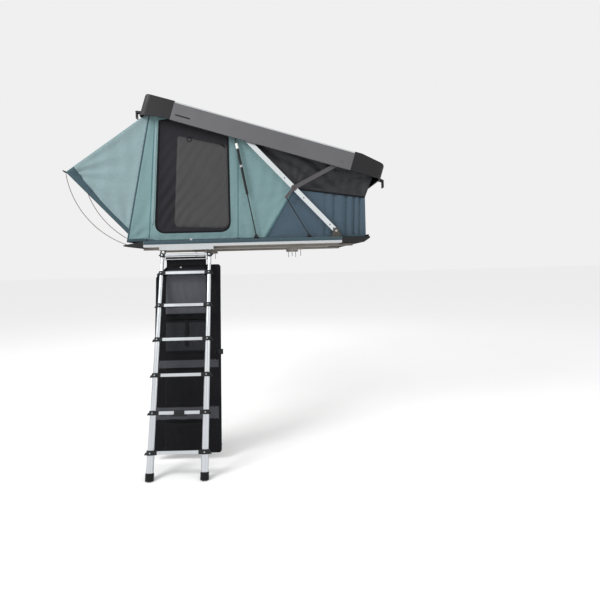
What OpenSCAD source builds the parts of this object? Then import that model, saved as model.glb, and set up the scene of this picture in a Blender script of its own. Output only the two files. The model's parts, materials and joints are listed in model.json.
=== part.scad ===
// Hard-shell roof top tent, shown open: the lid stands on a folding linkage over a sprung fabric cabin,
// with a rear awning and a telescopic ladder hung on one long side.
// +X points to the front of the vehicle, +Z up. The origin lies midway between the two mounting
// channels, on the plane where their pads sit on the roof bars.

/* [Base] */
// Length of the base over its end caps
base_l = 2160; // [1900:10:2400]
// Width of the base over its side rails
base_w = 1360; // [1200:10:1500]
// Height of the side rails
rail_h = 50; // [40:1:70]
// Width of the side rails
rail_w = 58; // [50:1:80]
// Wall of the hollow side rails
rail_wall = 4; // [3:0.5:6]
// Length of the rear base cap
rear_cap_l = 175; // [120:5:220]
// Length of the front base cap
front_cap_l = 245; // [180:5:280]
// Wall of the moulded base caps
base_cap_wall = 5; // [3:0.5:8]
// Drop of the rear cap's top from the rail to its pointed lip
rear_drop = 28; // [15:1:40]
// Height of the turned-up lip on the front cap
front_lip_h = 18; // [8:1:30]
// Thickness of the floor panel
floor_t = 25; // [15:1:30]
// Thickness of the mattress
mattress_t = 50; // [30:1:50]

/* [Mounting] */
// Height of the pads between the channels and the roof bars
pad_h = 25; // [10:1:40]
// Height of the two mounting channels
channel_h = 20; // [18:1:45]
// Width of the mounting channels
channel_w = 60; // [50:1:90]
// Length of the mounting channels
channel_l = 1950; // [1600:10:2100]
// Distance between the two channels' middles
channel_gap = 800; // [600:10:950]
// Wall of the mounting channels
channel_wall = 4; // [3:0.5:5]
// Width of the slot in the channels' underside
slot_w = 12; // [10:0.5:16]
// Distance between the two roof bars
bar_gap = 900; // [700:10:1200]
// Distance between the two studs beside each roof bar
stud_gap = 80; // [60:5:120]
// Diameter of the studs
stud_d = 8; // [6:1:10]
// Length of the studs below the channels
stud_l = 60; // [40:5:90]

/* [Lid] */
// How much longer the lid is than the base
lid_over = 48; // [36:2:80]
// Height of the lid's side rails
lid_h = 168; // [150:1:200]
// Thickness of the lid's side rails
lid_wall = 20; // [16:1:28]
// Bevel along the rails' upper edge
lid_bevel = 16; // [8:1:20]
// Length of the lid's rear cap
lid_rear_cap_l = 280; // [240:5:340]
// Length of the lid's front cap
lid_front_cap_l = 285; // [240:5:340]
// Wall of the lid's moulded caps
lid_cap_wall = 8; // [5:0.5:12]
// Corner radius of the caps seen from above
lid_corner_r = 60; // [30:5:100]
// Height of the rear cap's end face
rear_face_h = 128; // [100:2:145]
// Height of the front cap's end face
front_face_h = 118; // [90:2:140]
// Thickness of the roof panel
roof_t = 10; // [6:1:36]
// Thickness of the quilted headliner
headliner_t = 6; // [4:0.5:10]
// Gap between the closed lid and the base rails
lid_gap = 3; // [2.5:0.5:8]

/* [Linkage] */
// Arm pivot, inside the base's front end
arm_inset = 290; // [280:2:340]
// Height of the base pivots above the rails
pivot_h = 55; // [50:1:70]
// Length of the lifting arms between pivots
arm_l = 1190; // [1100:5:1250]
// Width of the lifting arms
arm_w = 42; // [30:1:48]
// Thickness of the lifting arms
arm_t = 8; // [5:0.5:10]
// Angle of the opened arms above the base
arm_angle = 47; // [44:0.5:50]
// Distance from the arm's foot to the link's pivot
arm_joint = 530; // [500:5:560]
// Length of the links between pivots
link_l = 472; // [455:1:480]
// Angle of the opened links above the base
link_angle = 27; // [25:0.5:29]
// Width of the links
link_w = 36; // [26:1:40]
// Thickness of the links
link_t = 8; // [5:0.5:10]
// Reach of the link's tail behind its pivot
tail_x = 100; // [80:1:110]
// Drop of the link's tail below its pivot
tail_z = 40; // [38:0.5:44]
// Lid pivot of the links, inside the lid's front end
lid_pin_inset = 378; // [358:2:408]
// Height of the control rod's foot pivot above the rails
rod_foot_h = 20; // [16:1:26]
// Diameter of the control rods
rod_d = 8; // [6:0.5:8]
// Diameter of the pivot pins
pin_d = 12; // [8:0.5:14]
// Gas struts' feet, behind the arms' feet
strut_back = 706; // [680:2:730]
// Height of the gas struts' feet above the rails
strut_foot_h = 32; // [28:1:40]
// Diameter of the gas struts' cylinders
strut_d = 22; // [18:1:26]
// Diameter of the gas struts' rods
strut_rod_d = 10; // [8:1:12]
// Bare length of the rods when the lid is open
strut_bare = 374; // [370:1:390]
// Strut pivot on the carriage, behind the arm's top
strut_pin_s = 50; // [40:1:60]
// Strut pivot on the carriage, below the arm's top
strut_pin_h = 40; // [37:0.5:42]

/* [Fabric] */
// Thickness of the wall cloth
cloth_t = 5; // [3:0.5:6]
// Rear wall foot, inside the base's rear end
wall_rear_inset = 14; // [10:2:60]
// Lean of the rear wall from upright
wall_rear_lean = 11.2; // [8:0.2:12]
// Front wall foot, inside the base's front end
wall_front_inset = 20; // [18:1:60]
// Height of the front wall's knee above the floor
front_knee_h = 374; // [300:2:400]
// How far the front wall leans out from knee to lid
front_bulge = 104; // [30:1:110]
// Foot of the seam between the side panels, inside the base's front end
side_seam_inset = 940; // [860:2:980]
// Where that seam meets the arm, from the arm's foot
seam_on_arm = 530; // [440:5:550]
// How far the walls tuck up inside the lid
wall_tuck = 100; // [60:2:110]
// Number of pleats in the front side panel
pleats = 7; // [4:1:9]
// Distance between pleats
pleat_pitch = 62; // [50:1:70]
// Depth of the pleats
pleat_depth = 10; // [4:0.5:14]
// Height of the hem band above the floor
hem_h = 40; // [34:1:80]
// Length of the side doors
door_l = 667; // [560:1:680]
// Rear edge of the side doors, inside the base's rear end
door_inset = 266; // [250:2:330]
// Sill of the side doors above the floor
door_sill = 103; // [70:1:120]
// Width of the doors' binding
binding_w = 14; // [10:1:30]
// Width of the rear doorway
rear_door_w = 800; // [600:10:900]

/* [Awning] */
// Length of the awning from the lid to its tip
awning_l = 885; // [780:5:900]
// Slope of the awning below level
awning_slope = 34.2; // [33:0.1:38]
// Thickness of the awning cloth
awning_t = 3; // [2:0.5:4]
// Diameter of the spring-steel awning rods
awning_rod_d = 7; // [4:0.5:8]
// Bow of the outer awning rods
awning_bow = 118; // [60:2:140]
// Bow of the inner awning rods
inner_bow = 44; // [20:2:60]
// Foot of the awning's gussets above the rails
gusset_foot_h = 70; // [40:2:120]

/* [Ladder] */
// Middle of the ladder, inside the base's rear end
ladder_inset = 553; // [520:1:580]
// Distance between the stiles' middles
ladder_w = 408; // [340:2:440]
// Lean of the ladder from upright
ladder_lean = 19; // [12:0.5:26]
// Outside diameter of the top stiles
stile_d = 30; // [26:1:34]
// Growth of the stiles' diameter per section
stile_step = 4; // [3.5:0.1:5]
// Distance from the hinge to the first rung
first_rung = 168; // [150:2:190]
// Distance between rungs
rung_pitch = 283; // [260:1:300]
// Distance from the last rung to the foot
last_rung = 158; // [150:2:200]
// Depth of the rungs
rung_depth = 40; // [30:1:44]
// Height of the rungs
rung_h = 24; // [20:1:30]
// Length of stile held inside the next section
stile_hold = 45; // [40:1:60]
// Drop of the ladder's hinge below the side rail
ladder_drop = 75; // [65:1:90]
// Height of the ladder's mounting bar
ladder_bar_h = 30; // [20:1:36]
// Width of the organiser panel behind the ladder
organiser_w = 544; // [460:2:560]
// Length of the organiser panel below the lower cross tube
organiser_l = 1600; // [1300:10:1640]
// Lean of the organiser from upright
organiser_lean = 9; // [6:0.5:12]
// Shift of the organiser towards the front
organiser_shift = 16; // [0:1:30]
// Distance from the cross tube's middle back to the organiser
organiser_back = 20; // [18:1:40]

/* [Latches] */
// Distance from each latch to the lid's side
latch_inset = 90; // [86:2:280]
// Length of the latches
latch_l = 68; // [50:1:80]
// Width of the latches
latch_w = 35; // [25:1:45]
// Thickness of the latches
latch_t = 14; // [10:0.5:18]

/* [Hidden] */
$fn = 48;
// Running clearances
slip = 0.4;
bore_slack = 0.05;
seat = 0.3;

// Heights
rail_bottom = pad_h + channel_h;
rail_mid = rail_bottom + rail_h / 2;
rail_top = rail_bottom + rail_h;
floor_top = rail_bottom + floor_t;
pivot_z = rail_top + pivot_h;

// Planes on the near side, as distances from the middle
half_w = base_w / 2;
latch_y = half_w - latch_inset;
rail_in = half_w - rail_w;
lid_in = half_w - lid_wall;
link_out = lid_in - 4;
link_in = link_out - link_t;
arm_out = link_in - slip;
arm_in = arm_out - arm_t;
strut_y = arm_in - 1.1 - strut_d / 2;
strut_eye_t = 10;
wall_out = strut_y - strut_d / 2 - 4.5;
wall_in = wall_out - cloth_t;

// Ends of the base
base_rear = -base_l / 2;
base_front = base_l / 2;
rail_rear = base_rear + rear_cap_l;
rail_front = base_front - front_cap_l;
side_seam_x = base_front - side_seam_inset;
ladder_x = base_rear + ladder_inset;

// Length of the lid, and where its links hold it
lid_l = base_l + lid_over;
lid_pin_s = lid_l - lid_pin_inset;

// Linkage pivots when open, as [x, z]
function polar(p, r, a) = p + r * [cos(a), sin(a)];
function turned(p, v, a) = p + [v[0] * cos(a) - v[1] * sin(a), v[0] * sin(a) + v[1] * cos(a)];
function heading(p, q) = atan2(q[1] - p[1], q[0] - p[0]);
arm_dir = 180 - arm_angle;
arm_foot = [base_front - arm_inset, pivot_z];
arm_mid = polar(arm_foot, arm_joint, arm_dir);
arm_top = polar(arm_foot, arm_l, arm_dir);
link_pin = polar(arm_mid, link_l, link_angle);
tail = turned(arm_mid, [-tail_x, -tail_z], link_angle);
lid_tilt = -heading(arm_top, link_pin);

// The same pivots with the lid closed, where arms and links lie level
arm_mid_closed = arm_foot - [arm_joint, 0];
tail_closed = arm_mid_closed - [tail_x, tail_z];

// Control rod foot, placed so that the rod's length is the same open and closed
rod_foot_z = rail_top + rod_foot_h;
function reach2(p) = p[0] * p[0] + pow(p[1] - rod_foot_z, 2);
rod_foot = [(reach2(tail) - reach2(tail_closed)) / (2 * (tail[0] - tail_closed[0])), rod_foot_z];

// Lid frame: s runs forward from the rear end, h up from the bottom edge
pin_h = pivot_h - lid_gap;
lid_s = [cos(lid_tilt), -sin(lid_tilt)];
lid_up = [sin(lid_tilt), cos(lid_tilt)];
lid_corner = link_pin - lid_pin_s * lid_s - pin_h * lid_up;
function lid_at(s, h) = lid_corner + s * lid_s + h * lid_up;
function s_at(x, h) = (x - lid_corner[0] - h * lid_up[0]) / lid_s[0];
function under_lid(x, h) = lid_at(s_at(x, h), h);
arm_top_s = lid_pin_s - norm(link_pin - arm_top);
arm_top_s_closed = lid_pin_s - (arm_l - arm_joint + link_l);

// Gas strut
strut_foot = [arm_foot[0] - strut_back, rail_top + strut_foot_h];
strut_top = lid_at(arm_top_s - strut_pin_s, pin_h - strut_pin_h);
strut_len = norm(strut_top - strut_foot);
strut_dir = heading(strut_foot, strut_top);
strut_eye_r = 11;
strut_body_l = strut_len - strut_bare - 46;
strut_rod_inside = 60;

// Fabric corners, as [x, z]
wall_foot = floor_top + seat;
cap_foot = rail_top + seat;
rear_foot_x = base_rear + wall_rear_inset;
front_foot_x = base_front - wall_front_inset;
function rear_edge_x(z) = rear_foot_x + (z - rail_top) * tan(wall_rear_lean);
rear_tuck_s = ((rear_foot_x - lid_corner[0]) * cos(wall_rear_lean)
  + (lid_corner[1] - rail_top) * sin(wall_rear_lean)
  - wall_tuck * sin(lid_tilt - wall_rear_lean)) / cos(lid_tilt - wall_rear_lean);
rear_top = lid_at(rear_tuck_s, wall_tuck);
knee = [front_foot_x, floor_top + front_knee_h];
front_top = under_lid(front_foot_x + front_bulge, wall_tuck);
seam_foot = [side_seam_x, wall_foot];
seam_mid = polar(arm_foot, seam_on_arm, arm_dir);
seam_top = polar(arm_top, (wall_tuck - pin_h) / sin(arm_angle - lid_tilt), arm_dir);
door_rear = base_rear + door_inset;
door_front = door_rear + door_l;
door_lean = 59;
door_rear_drop = 21;
door_tuck = 38;
door_head_l = 155;
door_r = 90;
door_top_r = 14;

// Awning, hung from a bar between the cheeks of the lid's rear cap
awning_bar_r = 6;
awning_start = awning_bar_r + seat;
awning_s = 50;
awning_h = 5;
awning_pin = lid_at(awning_s, awning_h);
awning_dir = 180 + awning_slope;
awning_tip = polar(awning_pin, awning_l, awning_dir);
awning_foot = [rear_edge_x(rail_top + gusset_foot_h) - seat, rail_top + gusset_foot_h];
awning_under = [sin(awning_slope), -cos(awning_slope)];
gusset_t = 3;

// Rear end of the closed lid, whose bottom edge follows the slope of the rear base cap
lid_rear_closed = arm_mid_closed[0] + link_l - lid_pin_s;
rear_slope_l = rail_rear - lid_rear_closed;
rear_lip = rear_drop * rear_slope_l / rear_cap_l;
cap_top_h = lid_h - 4;

// Ladder
hinge_y = half_w + 25;
hinge_z = rail_bottom - ladder_drop;
hinge_rod_d = 12;
crossbar_d = 24;
bracket_t = 5;
collar_wall = 7;
stile_slack = 0.3;
foot_h = 32;
rungs = 6;
function stile_r(k) = stile_d / 2 + k * stile_step / 2;
function rung_at(k) = first_rung + rung_pitch * (k - 1);
stile_end = rung_at(rungs) + last_rung;
stile_lead = 12;

// Shared shapes

// A copy on each long side
module both_sides() {
  children();
  mirror([0, 1, 0]) children();
}

// Outline [x, z] made into a plate on the near side, from its outer face inwards
module near_plate(y_out, t) {
  translate([0, t - y_out, 0]) rotate([90, 0, 0]) linear_extrude(t) children();
}

// Outline [x, z] run across the tent
module across(w) {
  translate([0, w / 2, 0]) rotate([90, 0, 0]) linear_extrude(w) children();
}

// Outline [y, z] run along X
module along_x(x0, x1) {
  translate([x0, 0, 0]) rotate([90, 0, 90]) linear_extrude(x1 - x0) children();
}

// Pin or boss along Y on the near side at [x, z], from its outer end inwards
module near_pin(p, r, y_out, t) {
  translate([p[0], -y_out, p[1]]) rotate([-90, 0, 0]) cylinder(r = r, h = t);
}

// Rod in the plane at y_mid, from distance d0 to d1 along a heading from [x, z]
module near_rod(p, dir, r, d0, d1, y_mid) {
  translate([p[0], -y_mid, p[1]]) rotate([0, 90 - dir, 0]) translate([0, 0, d0])
    cylinder(r = r, h = d1 - d0);
}

// Flat bar with round ends between two points
function stadium(l, w, n = 8) = concat(
  [for (i = [0:n]) [l, 0] + w / 2 * [cos(180 * i / n - 90), sin(180 * i / n - 90)]],
  [for (i = [0:n]) w / 2 * [cos(180 * i / n + 90), sin(180 * i / n + 90)]]);
module bar_between(p, q, w) {
  translate(p) rotate(heading(p, q)) polygon(stadium(norm(q - p), w));
}

// Polygon with rounded corners
function unit(v) = v / norm(v);
function corner(a, b, c, r, n = 6) =
  let (u = unit(a - b), w = unit(c - b), half = acos(u * w) / 2)
  let (mid = b + unit(u + w) * r / sin(half))
  let (a0 = heading(mid, b + u * r / tan(half)), a1 = heading(mid, b + w * r / tan(half)))
  let (turn = (a1 - a0 + 540) % 360 - 180)
  [for (i = [0:n]) polar(mid, r, a0 + turn * i / n)];
function rounded(pts, r) =
  let (n = len(pts))
  [for (i = [0:n - 1]) each corner(pts[(i + n - 1) % n], pts[i], pts[(i + 1) % n], r)];

// Place children in the lid's frame: X forward along the lid, Z up from its bottom edge
module in_lid() {
  translate([lid_corner[0], 0, lid_corner[1]]) rotate([0, lid_tilt, 0]) children();
}

// Place children in the ladder's frame: the hinge at the origin, the ladder down along -Z
module in_ladder() {
  translate([ladder_x, -hinge_y, hinge_z]) rotate([-ladder_lean, 0, 0]) children();
}

// Base

module floor_panel() {
  color("#6d6a62") translate([rail_rear, -rail_in, rail_bottom])
    cube([rail_front - rail_rear, 2 * rail_in, floor_t]);
}

module base_rails() {
  groove_h = 10;
  groove_d = 2;
  color("#d9dde0") both_sides() along_x(rail_rear, rail_front) difference() {
    translate([-half_w, rail_bottom]) square([rail_w, rail_h]);
    translate([-half_w + rail_wall, rail_bottom + rail_wall])
      square([rail_w - 2 * rail_wall, rail_h - 2 * rail_wall]);
    translate([-half_w - 1, rail_mid - groove_h / 2]) square([groove_d + 1, groove_h]);
  }
}

// Height of the rear cap's sloping top
function rear_cap_top(x) = rail_top - rear_drop * (rail_rear - x) / rear_cap_l;

module base_rear_cap() {
  lip_t = 10;
  heel = 70;
  w = base_cap_wall;
  color("#3a3a3b") difference() {
    across(base_w) polygon([[rail_rear, rail_bottom], [rail_rear, rail_top],
      [base_rear, rear_cap_top(base_rear)], [base_rear, rear_cap_top(base_rear) - lip_t],
      [base_rear + heel, rail_bottom]]);
    across(base_w - 2 * w) polygon([[rail_rear - w, rail_bottom - 1],
      [rail_rear - w, rear_cap_top(rail_rear - w) - w],
      [base_rear + heel + w, rear_cap_top(base_rear + heel + w) - w],
      [base_rear + heel + w, rail_bottom - 1]]);
  }
}

module base_front_cap() {
  toe = 50;
  nose_t = 16;
  lip_t = 8;
  w = base_cap_wall;
  color("#3a3a3b") {
    difference() {
      across(base_w) polygon([[rail_front, rail_bottom], [rail_front, rail_top], [base_front, rail_top],
        [base_front, rail_top - nose_t], [base_front - toe, rail_bottom]]);
      across(base_w - 2 * w) polygon([[rail_front + w, rail_bottom - 1], [rail_front + w, rail_top - w],
        [base_front - toe - w, rail_top - w], [base_front - toe - w, rail_bottom - 1]]);
    }
    across(2 * (lid_in - 12)) polygon([[base_front - lip_t - 4, rail_top - 2],
      [base_front - lip_t, rail_top + front_lip_h], [base_front - 2, rail_top + front_lip_h],
      [base_front, rail_top - 2]]);
  }
}

// Slotted channels, each on two pads that carry the slot down to the roof bars
module mounting_channels() {
  pad_l = stud_gap + 50;
  color("#8b8d90") both_sides() translate([0, -channel_gap / 2, 0]) {
    along_x(-channel_l / 2, channel_l / 2) translate([0, pad_h]) difference() {
      translate([-channel_w / 2, 0]) square([channel_w, channel_h]);
      translate([channel_wall - channel_w / 2, channel_wall])
        square([channel_w - 2 * channel_wall, channel_h - 2 * channel_wall]);
      translate([-slot_w / 2, -1]) square([slot_w, channel_wall + 2]);
    }
    for (bar = [-1, 1]) translate([bar * bar_gap / 2, 0, 0]) difference() {
      translate([-pad_l / 2, -channel_w / 2, 0]) cube([pad_l, channel_w, pad_h]);
      translate([-pad_l / 2 - 1, -slot_w / 2, -1]) cube([pad_l + 2, slot_w, pad_h + 2]);
    }
  }
}

module roof_bar_studs() {
  head = 2.4 * stud_d;
  head_h = 0.7 * stud_d;
  color("#b8bcc0") for (bar = [-1, 1], side = [-1, 1], end = [-1, 1])
    translate([bar * bar_gap / 2 + side * stud_gap / 2, end * channel_gap / 2, 0]) {
      translate([0, 0, -stud_l]) cylinder(d = stud_d, h = stud_l + pad_h + channel_wall + 1);
      translate([-head / 2, -head / 2, pad_h + channel_wall]) cube([head, head, head_h]);
    }
}

module base_seals() {
  seal_w = 14;
  color("#202124") both_sides() along_x(rail_rear + 5, rail_front - 5)
    translate([-half_w + 2, rail_top]) square([seal_w, lid_gap - 1]);
}

// The mattress has a soft crown and drawn-in long sides
module mattress() {
  margin = 12;
  half = wall_in - pleat_depth - margin;
  crown = 6;
  draw_in = 8;
  low = 0.35 * mattress_t;
  high = 0.6 * mattress_t;
  steps = 12;
  top = [for (i = [0:steps]) let (u = 1 - 2 * i / steps)
    [u * (half - draw_in), mattress_t - crown * u * u * u * u]];
  color("#9a9fa3") along_x(rail_rear + margin, rail_front - margin) translate([0, floor_top])
    polygon(concat([[draw_in - half, 0], [half - draw_in, 0], [half, low], [half, high]], top,
      [[-half, high], [-half, low]]));
}

// Cheek of a foot that stands on the rail and carries a pivot
module cheek_outline(p, foot_w, eye_r) {
  h = p[1] - rail_top;
  translate([p[0], rail_top]) {
    polygon([[-foot_w / 2, 0], [foot_w / 2, 0], [0.9 * eye_r, h + 0.2 * eye_r],
      [-0.9 * eye_r, h + 0.2 * eye_r]]);
    translate([0, h]) circle(eye_r);
  }
}

// Plate of a foot that lies on the rail
module foot_outline(p, foot_w, t) {
  translate([p[0] - foot_w / 2, rail_top]) square([foot_w, t]);
}

module arm_base_brackets() {
  foot_w = 84;
  foot_t = 8;
  eye_r = 28;
  color("#5b5650") both_sides() difference() {
    union() {
      near_plate(link_out, link_t) cheek_outline(arm_foot, foot_w, eye_r);
      near_plate(arm_in - slip, link_t) cheek_outline(arm_foot, foot_w, eye_r);
      near_plate(link_out, link_out - arm_in + slip + link_t) foot_outline(arm_foot, foot_w, foot_t);
    }
    near_pin(arm_foot, pin_d / 2 + bore_slack, half_w, rail_w);
  }
}

module arm_base_pins() {
  head_t = 3;
  color("#c7cacd") both_sides() {
    near_pin(arm_foot, pin_d / 2, link_out, link_out - arm_in + slip + link_t);
    near_pin(arm_foot, 0.85 * pin_d, link_out + head_t, head_t);
  }
}

module strut_and_rod_feet() {
  rod_foot_w = 60;
  strut_foot_w = 56;
  foot_t = 6;
  cheek_t = 8;
  eye_r = 13;
  strut_cheek = strut_y - strut_eye_t / 2 - slip;
  color("#2e2f31") both_sides() {
    near_plate(arm_in - slip, cheek_t) cheek_outline(rod_foot, rod_foot_w, eye_r);
    near_plate(link_out, link_out - arm_in + slip + cheek_t) foot_outline(rod_foot, rod_foot_w, foot_t);
    near_pin(rod_foot, rod_pin_r, arm_out, arm_t + slip + cheek_t / 2);
    near_plate(strut_cheek, foot_t) cheek_outline(strut_foot, strut_foot_w, eye_r);
    near_plate(arm_in, arm_in - strut_cheek + foot_t) foot_outline(strut_foot, strut_foot_w, foot_t);
    near_pin(strut_foot, strut_pin_r, strut_y + strut_eye_t / 2, strut_eye_t + slip + foot_t / 2);
  }
}

module latch_keepers() {
  keeper_t = 10;
  keeper_h = 10;
  keeper_w = 28;
  color("#c7cacd") both_sides() {
    translate([base_rear - keeper_t, -latch_y - keeper_w / 2, rear_cap_top(base_rear) - keeper_h])
      cube([keeper_t, keeper_w, keeper_h]);
    translate([base_front, -latch_y - keeper_w / 2, rail_top - keeper_h - 3])
      cube([keeper_t, keeper_w, keeper_h]);
  }
}

// Ladder mounting on the near rail

ladder_half = ladder_w / 2 + 32;
ladder_bar_bottom = rail_bottom - ladder_bar_h;

module ladder_mount_bar() {
  wall = 4;
  out = half_w + 12;
  bar_w = 60;
  color("#dde0e3") along_x(ladder_x - ladder_half, ladder_x + ladder_half) difference() {
    translate([-out, ladder_bar_bottom]) square([bar_w, ladder_bar_h]);
    translate([-out + wall, ladder_bar_bottom + wall]) square([bar_w - 2 * wall, ladder_bar_h - 2 * wall]);
  }
}

module ladder_hinge_brackets() {
  eye_r = 19;
  cheek = stile_r(0) + slip;
  color("#2b2c2e") {
    for (side = [-1, 1], face = [-1, 1]) {
      x = ladder_x + side * ladder_w / 2 + face * (cheek + bracket_t / 2);
      difference() {
        along_x(x - bracket_t / 2, x + bracket_t / 2) {
          polygon([[-half_w - 10, ladder_bar_bottom], [-half_w + 25, ladder_bar_bottom],
            [eye_r - 1 - hinge_y, hinge_z + 2], [1 - eye_r - hinge_y, hinge_z + 2]]);
          translate([-hinge_y, hinge_z]) circle(eye_r);
        }
        hinge_bore(hinge_rod_d / 2 + bore_slack);
      }
    }
    hinge_bore(hinge_rod_d / 2);
  }
}

// Line of the ladder's hinge rod
module hinge_bore(r) {
  translate([ladder_x - ladder_half, -hinge_y, hinge_z]) rotate([0, 90, 0])
    cylinder(r = r, h = 2 * ladder_half);
}

// Fabric cabin

module rear_side_walls() {
  color("#84a3a5") both_sides() difference() {
    near_plate(wall_out, cloth_t) polygon([[rear_edge_x(cap_foot), cap_foot], [rail_rear, cap_foot],
      [rail_rear, wall_foot], seam_foot, seam_mid, seam_top, rear_top]);
    near_plate(wall_out + 1, cloth_t + 2) polygon(door_outline(0));
  }
}

// Side door: round corners at the sill, and a top edge that runs up behind the lid's rail
function door_outline(inset) =
  let (z = floor_top + door_sill + inset, x0 = door_rear + inset, x1 = door_front - inset)
  let (a = [x0, z], b = [x1, z], c = under_lid(x1, door_tuck - inset))
  let (d = under_lid(x0 + door_lean, -door_rear_drop - inset))
  let (e = under_lid(x0 + door_lean + door_head_l, door_tuck - inset), r = door_top_r - inset / 2)
  concat(corner(d, a, b, door_r - inset), corner(a, b, c, door_r - inset), corner(b, c, e, r),
    corner(c, e, d, r), corner(e, d, a, r));

// Plan of the front side panel: flat, then pleated towards the front
pleat_end = front_foot_x - cloth_t - 2;
pleat_start = pleat_end - pleats * pleat_pitch;
pleat_steps = 8;
function pleat_in(i) = pleat_depth * (1 - cos(360 * i / pleat_steps)) / 2;
pleat_line = concat([[side_seam_x - 1, -wall_out]],
  [for (i = [0:pleats * pleat_steps]) [pleat_start + i * pleat_pitch / pleat_steps, pleat_in(i) - wall_out]],
  [[front_foot_x + 1, -wall_out]]);
pleat_back = [for (i = [len(pleat_line) - 1:-1:0]) pleat_line[i] + [0, cloth_t]];

module front_side_walls() {
  color("#566b78") both_sides() intersection() {
    near_plate(wall_out + 1, cloth_t + pleat_depth + 2) polygon([seam_foot, [rail_front, wall_foot],
      [rail_front, cap_foot], [front_foot_x, cap_foot], knee, seam_mid]);
    translate([0, 0, floor_top]) linear_extrude(seam_mid[1] - floor_top + 1)
      polygon(concat(pleat_line, pleat_back));
  }
}

module upper_side_walls() {
  color("#2b2d31") both_sides() near_plate(wall_out, cloth_t) polygon([seam_mid, knee, front_top, seam_top]);
}

module front_wall() {
  back = [cloth_t, 0];
  color("#566b78") across(2 * wall_in) polygon([[front_foot_x, cap_foot], knee, front_top,
    front_top - back, knee - back, [front_foot_x - cloth_t, cap_foot]]);
}

module rear_wall() {
  inside = [cloth_t, 0];
  foot = [rear_edge_x(cap_foot), cap_foot];
  sill = 120;
  head = 160;
  color("#84a3a5") difference() {
    across(2 * wall_in) polygon([foot, foot + inside, rear_top + inside, rear_top]);
    translate([base_rear, -rear_door_w / 2, floor_top + sill])
      cube([rear_top[0] - base_rear, rear_door_w, lid_corner[1] - floor_top - sill - head]);
  }
}

// Hem at the walls' foot, and a strip of the same cloth over the upper half of each rail
module hem_bands() {
  hem_t = 2;
  hem_top = floor_top + hem_h;
  strip_low = rail_mid - 4;
  color("#4f6470") both_sides() {
    near_plate(wall_out + hem_t, hem_t) polygon([
      [rear_edge_x(cap_foot), cap_foot], [rail_rear, cap_foot], [rail_rear, wall_foot],
      [rail_front, wall_foot], [rail_front, cap_foot], [front_foot_x, cap_foot],
      [front_foot_x, hem_top], [rear_edge_x(hem_top), hem_top]]);
    near_plate(half_w + hem_t, hem_t) translate([rail_rear, strip_low])
      square([rail_front - rail_rear, rail_top - seat - strip_low]);
  }
}

module door_screens() {
  screen_t = 2;
  color("#37363a") both_sides() near_plate(wall_out, screen_t) polygon(door_outline(seat));
}

module door_bindings() {
  binding_t = 2.5;
  color("#232428") both_sides() near_plate(wall_out + binding_t, binding_t) difference() {
    polygon(door_outline(-binding_w / 2));
    polygon(door_outline(binding_w / 2));
  }
}

// Lid

lid_rail_end = lid_l - lid_front_cap_l;

module lid_rails() {
  skin = 3;
  color("#6b6a6d") in_lid() both_sides() along_x(lid_rear_cap_l, lid_rail_end) difference() {
    polygon([[-half_w, 0], [-lid_in, 0], [-lid_in, lid_h], [lid_bevel - half_w, lid_h],
      [-half_w, lid_h - lid_bevel]]);
    polygon([[skin - half_w, skin], [-lid_in - skin, skin], [-lid_in - skin, lid_h - lid_bevel - skin],
      [skin - half_w, lid_h - lid_bevel - skin]]);
  }
}

roof_under = lid_h - 4 - roof_t;

module lid_roof_panel() {
  color("#58595c") in_lid() translate([lid_rear_cap_l, -lid_in, roof_under])
    cube([lid_rail_end - lid_rear_cap_l, 2 * lid_in, roof_t]);
}

module lid_headliner() {
  margin = 20;
  color("#b9bcbd") in_lid() translate([lid_rear_cap_l + margin, margin - lid_in, roof_under - headliner_t])
    cube([lid_rail_end - lid_rear_cap_l - 2 * margin, 2 * (lid_in - margin), headliner_t]);
}

// Outline of a lid cap from above, with rounded corners at the end s_end and the open side at s_in
function cap_plan(s_end, s_in, half, r) = concat([[s_in, half]],
  corner([s_in, half], [s_end, half], [s_end, -half], r),
  corner([s_end, half], [s_end, -half], [s_in, -half], r), [[s_in, -half]]);

// Moulded cap: an outer side view and an inner one, each rounded from above
module lid_cap(s_end, s_in, side, hollow) {
  grow = s_end < s_in ? 1 : -1;
  w = lid_cap_wall;
  deep = 100;
  color("#3a3a3b") in_lid() difference() {
    intersection() {
      across(base_w) polygon(side);
      translate([0, 0, -deep]) linear_extrude(lid_h + 2 * deep)
        polygon(cap_plan(s_end, s_in, half_w, lid_corner_r));
    }
    intersection() {
      across(base_w - 2 * w) polygon(hollow);
      translate([0, 0, -deep]) linear_extrude(lid_h + 2 * deep)
        polygon(cap_plan(s_end + grow * w, s_in + grow, half_w - w, lid_corner_r - w));
    }
  }
}

module lid_rear_cap() {
  w = lid_cap_wall;
  r = cap_top_h - rear_face_h;
  under = rear_lip + 10;
  difference() {
    lid_cap(0, lid_rear_cap_l,
      concat([[lid_rear_cap_l, 0], [rear_slope_l, 0], [0, -rear_lip]],
        corner([0, 0], [0, cap_top_h], [lid_rear_cap_l, lid_h], r), [[lid_rear_cap_l, lid_h]]),
      concat([[lid_rear_cap_l + 1, -under], [w, -under]],
        corner([w, 0], [w, cap_top_h - w], [lid_rear_cap_l, lid_h - w], r - w),
        [[lid_rear_cap_l + 1, lid_h - w]]));
    in_lid() awning_bar(bore_slack);
  }
}

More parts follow.
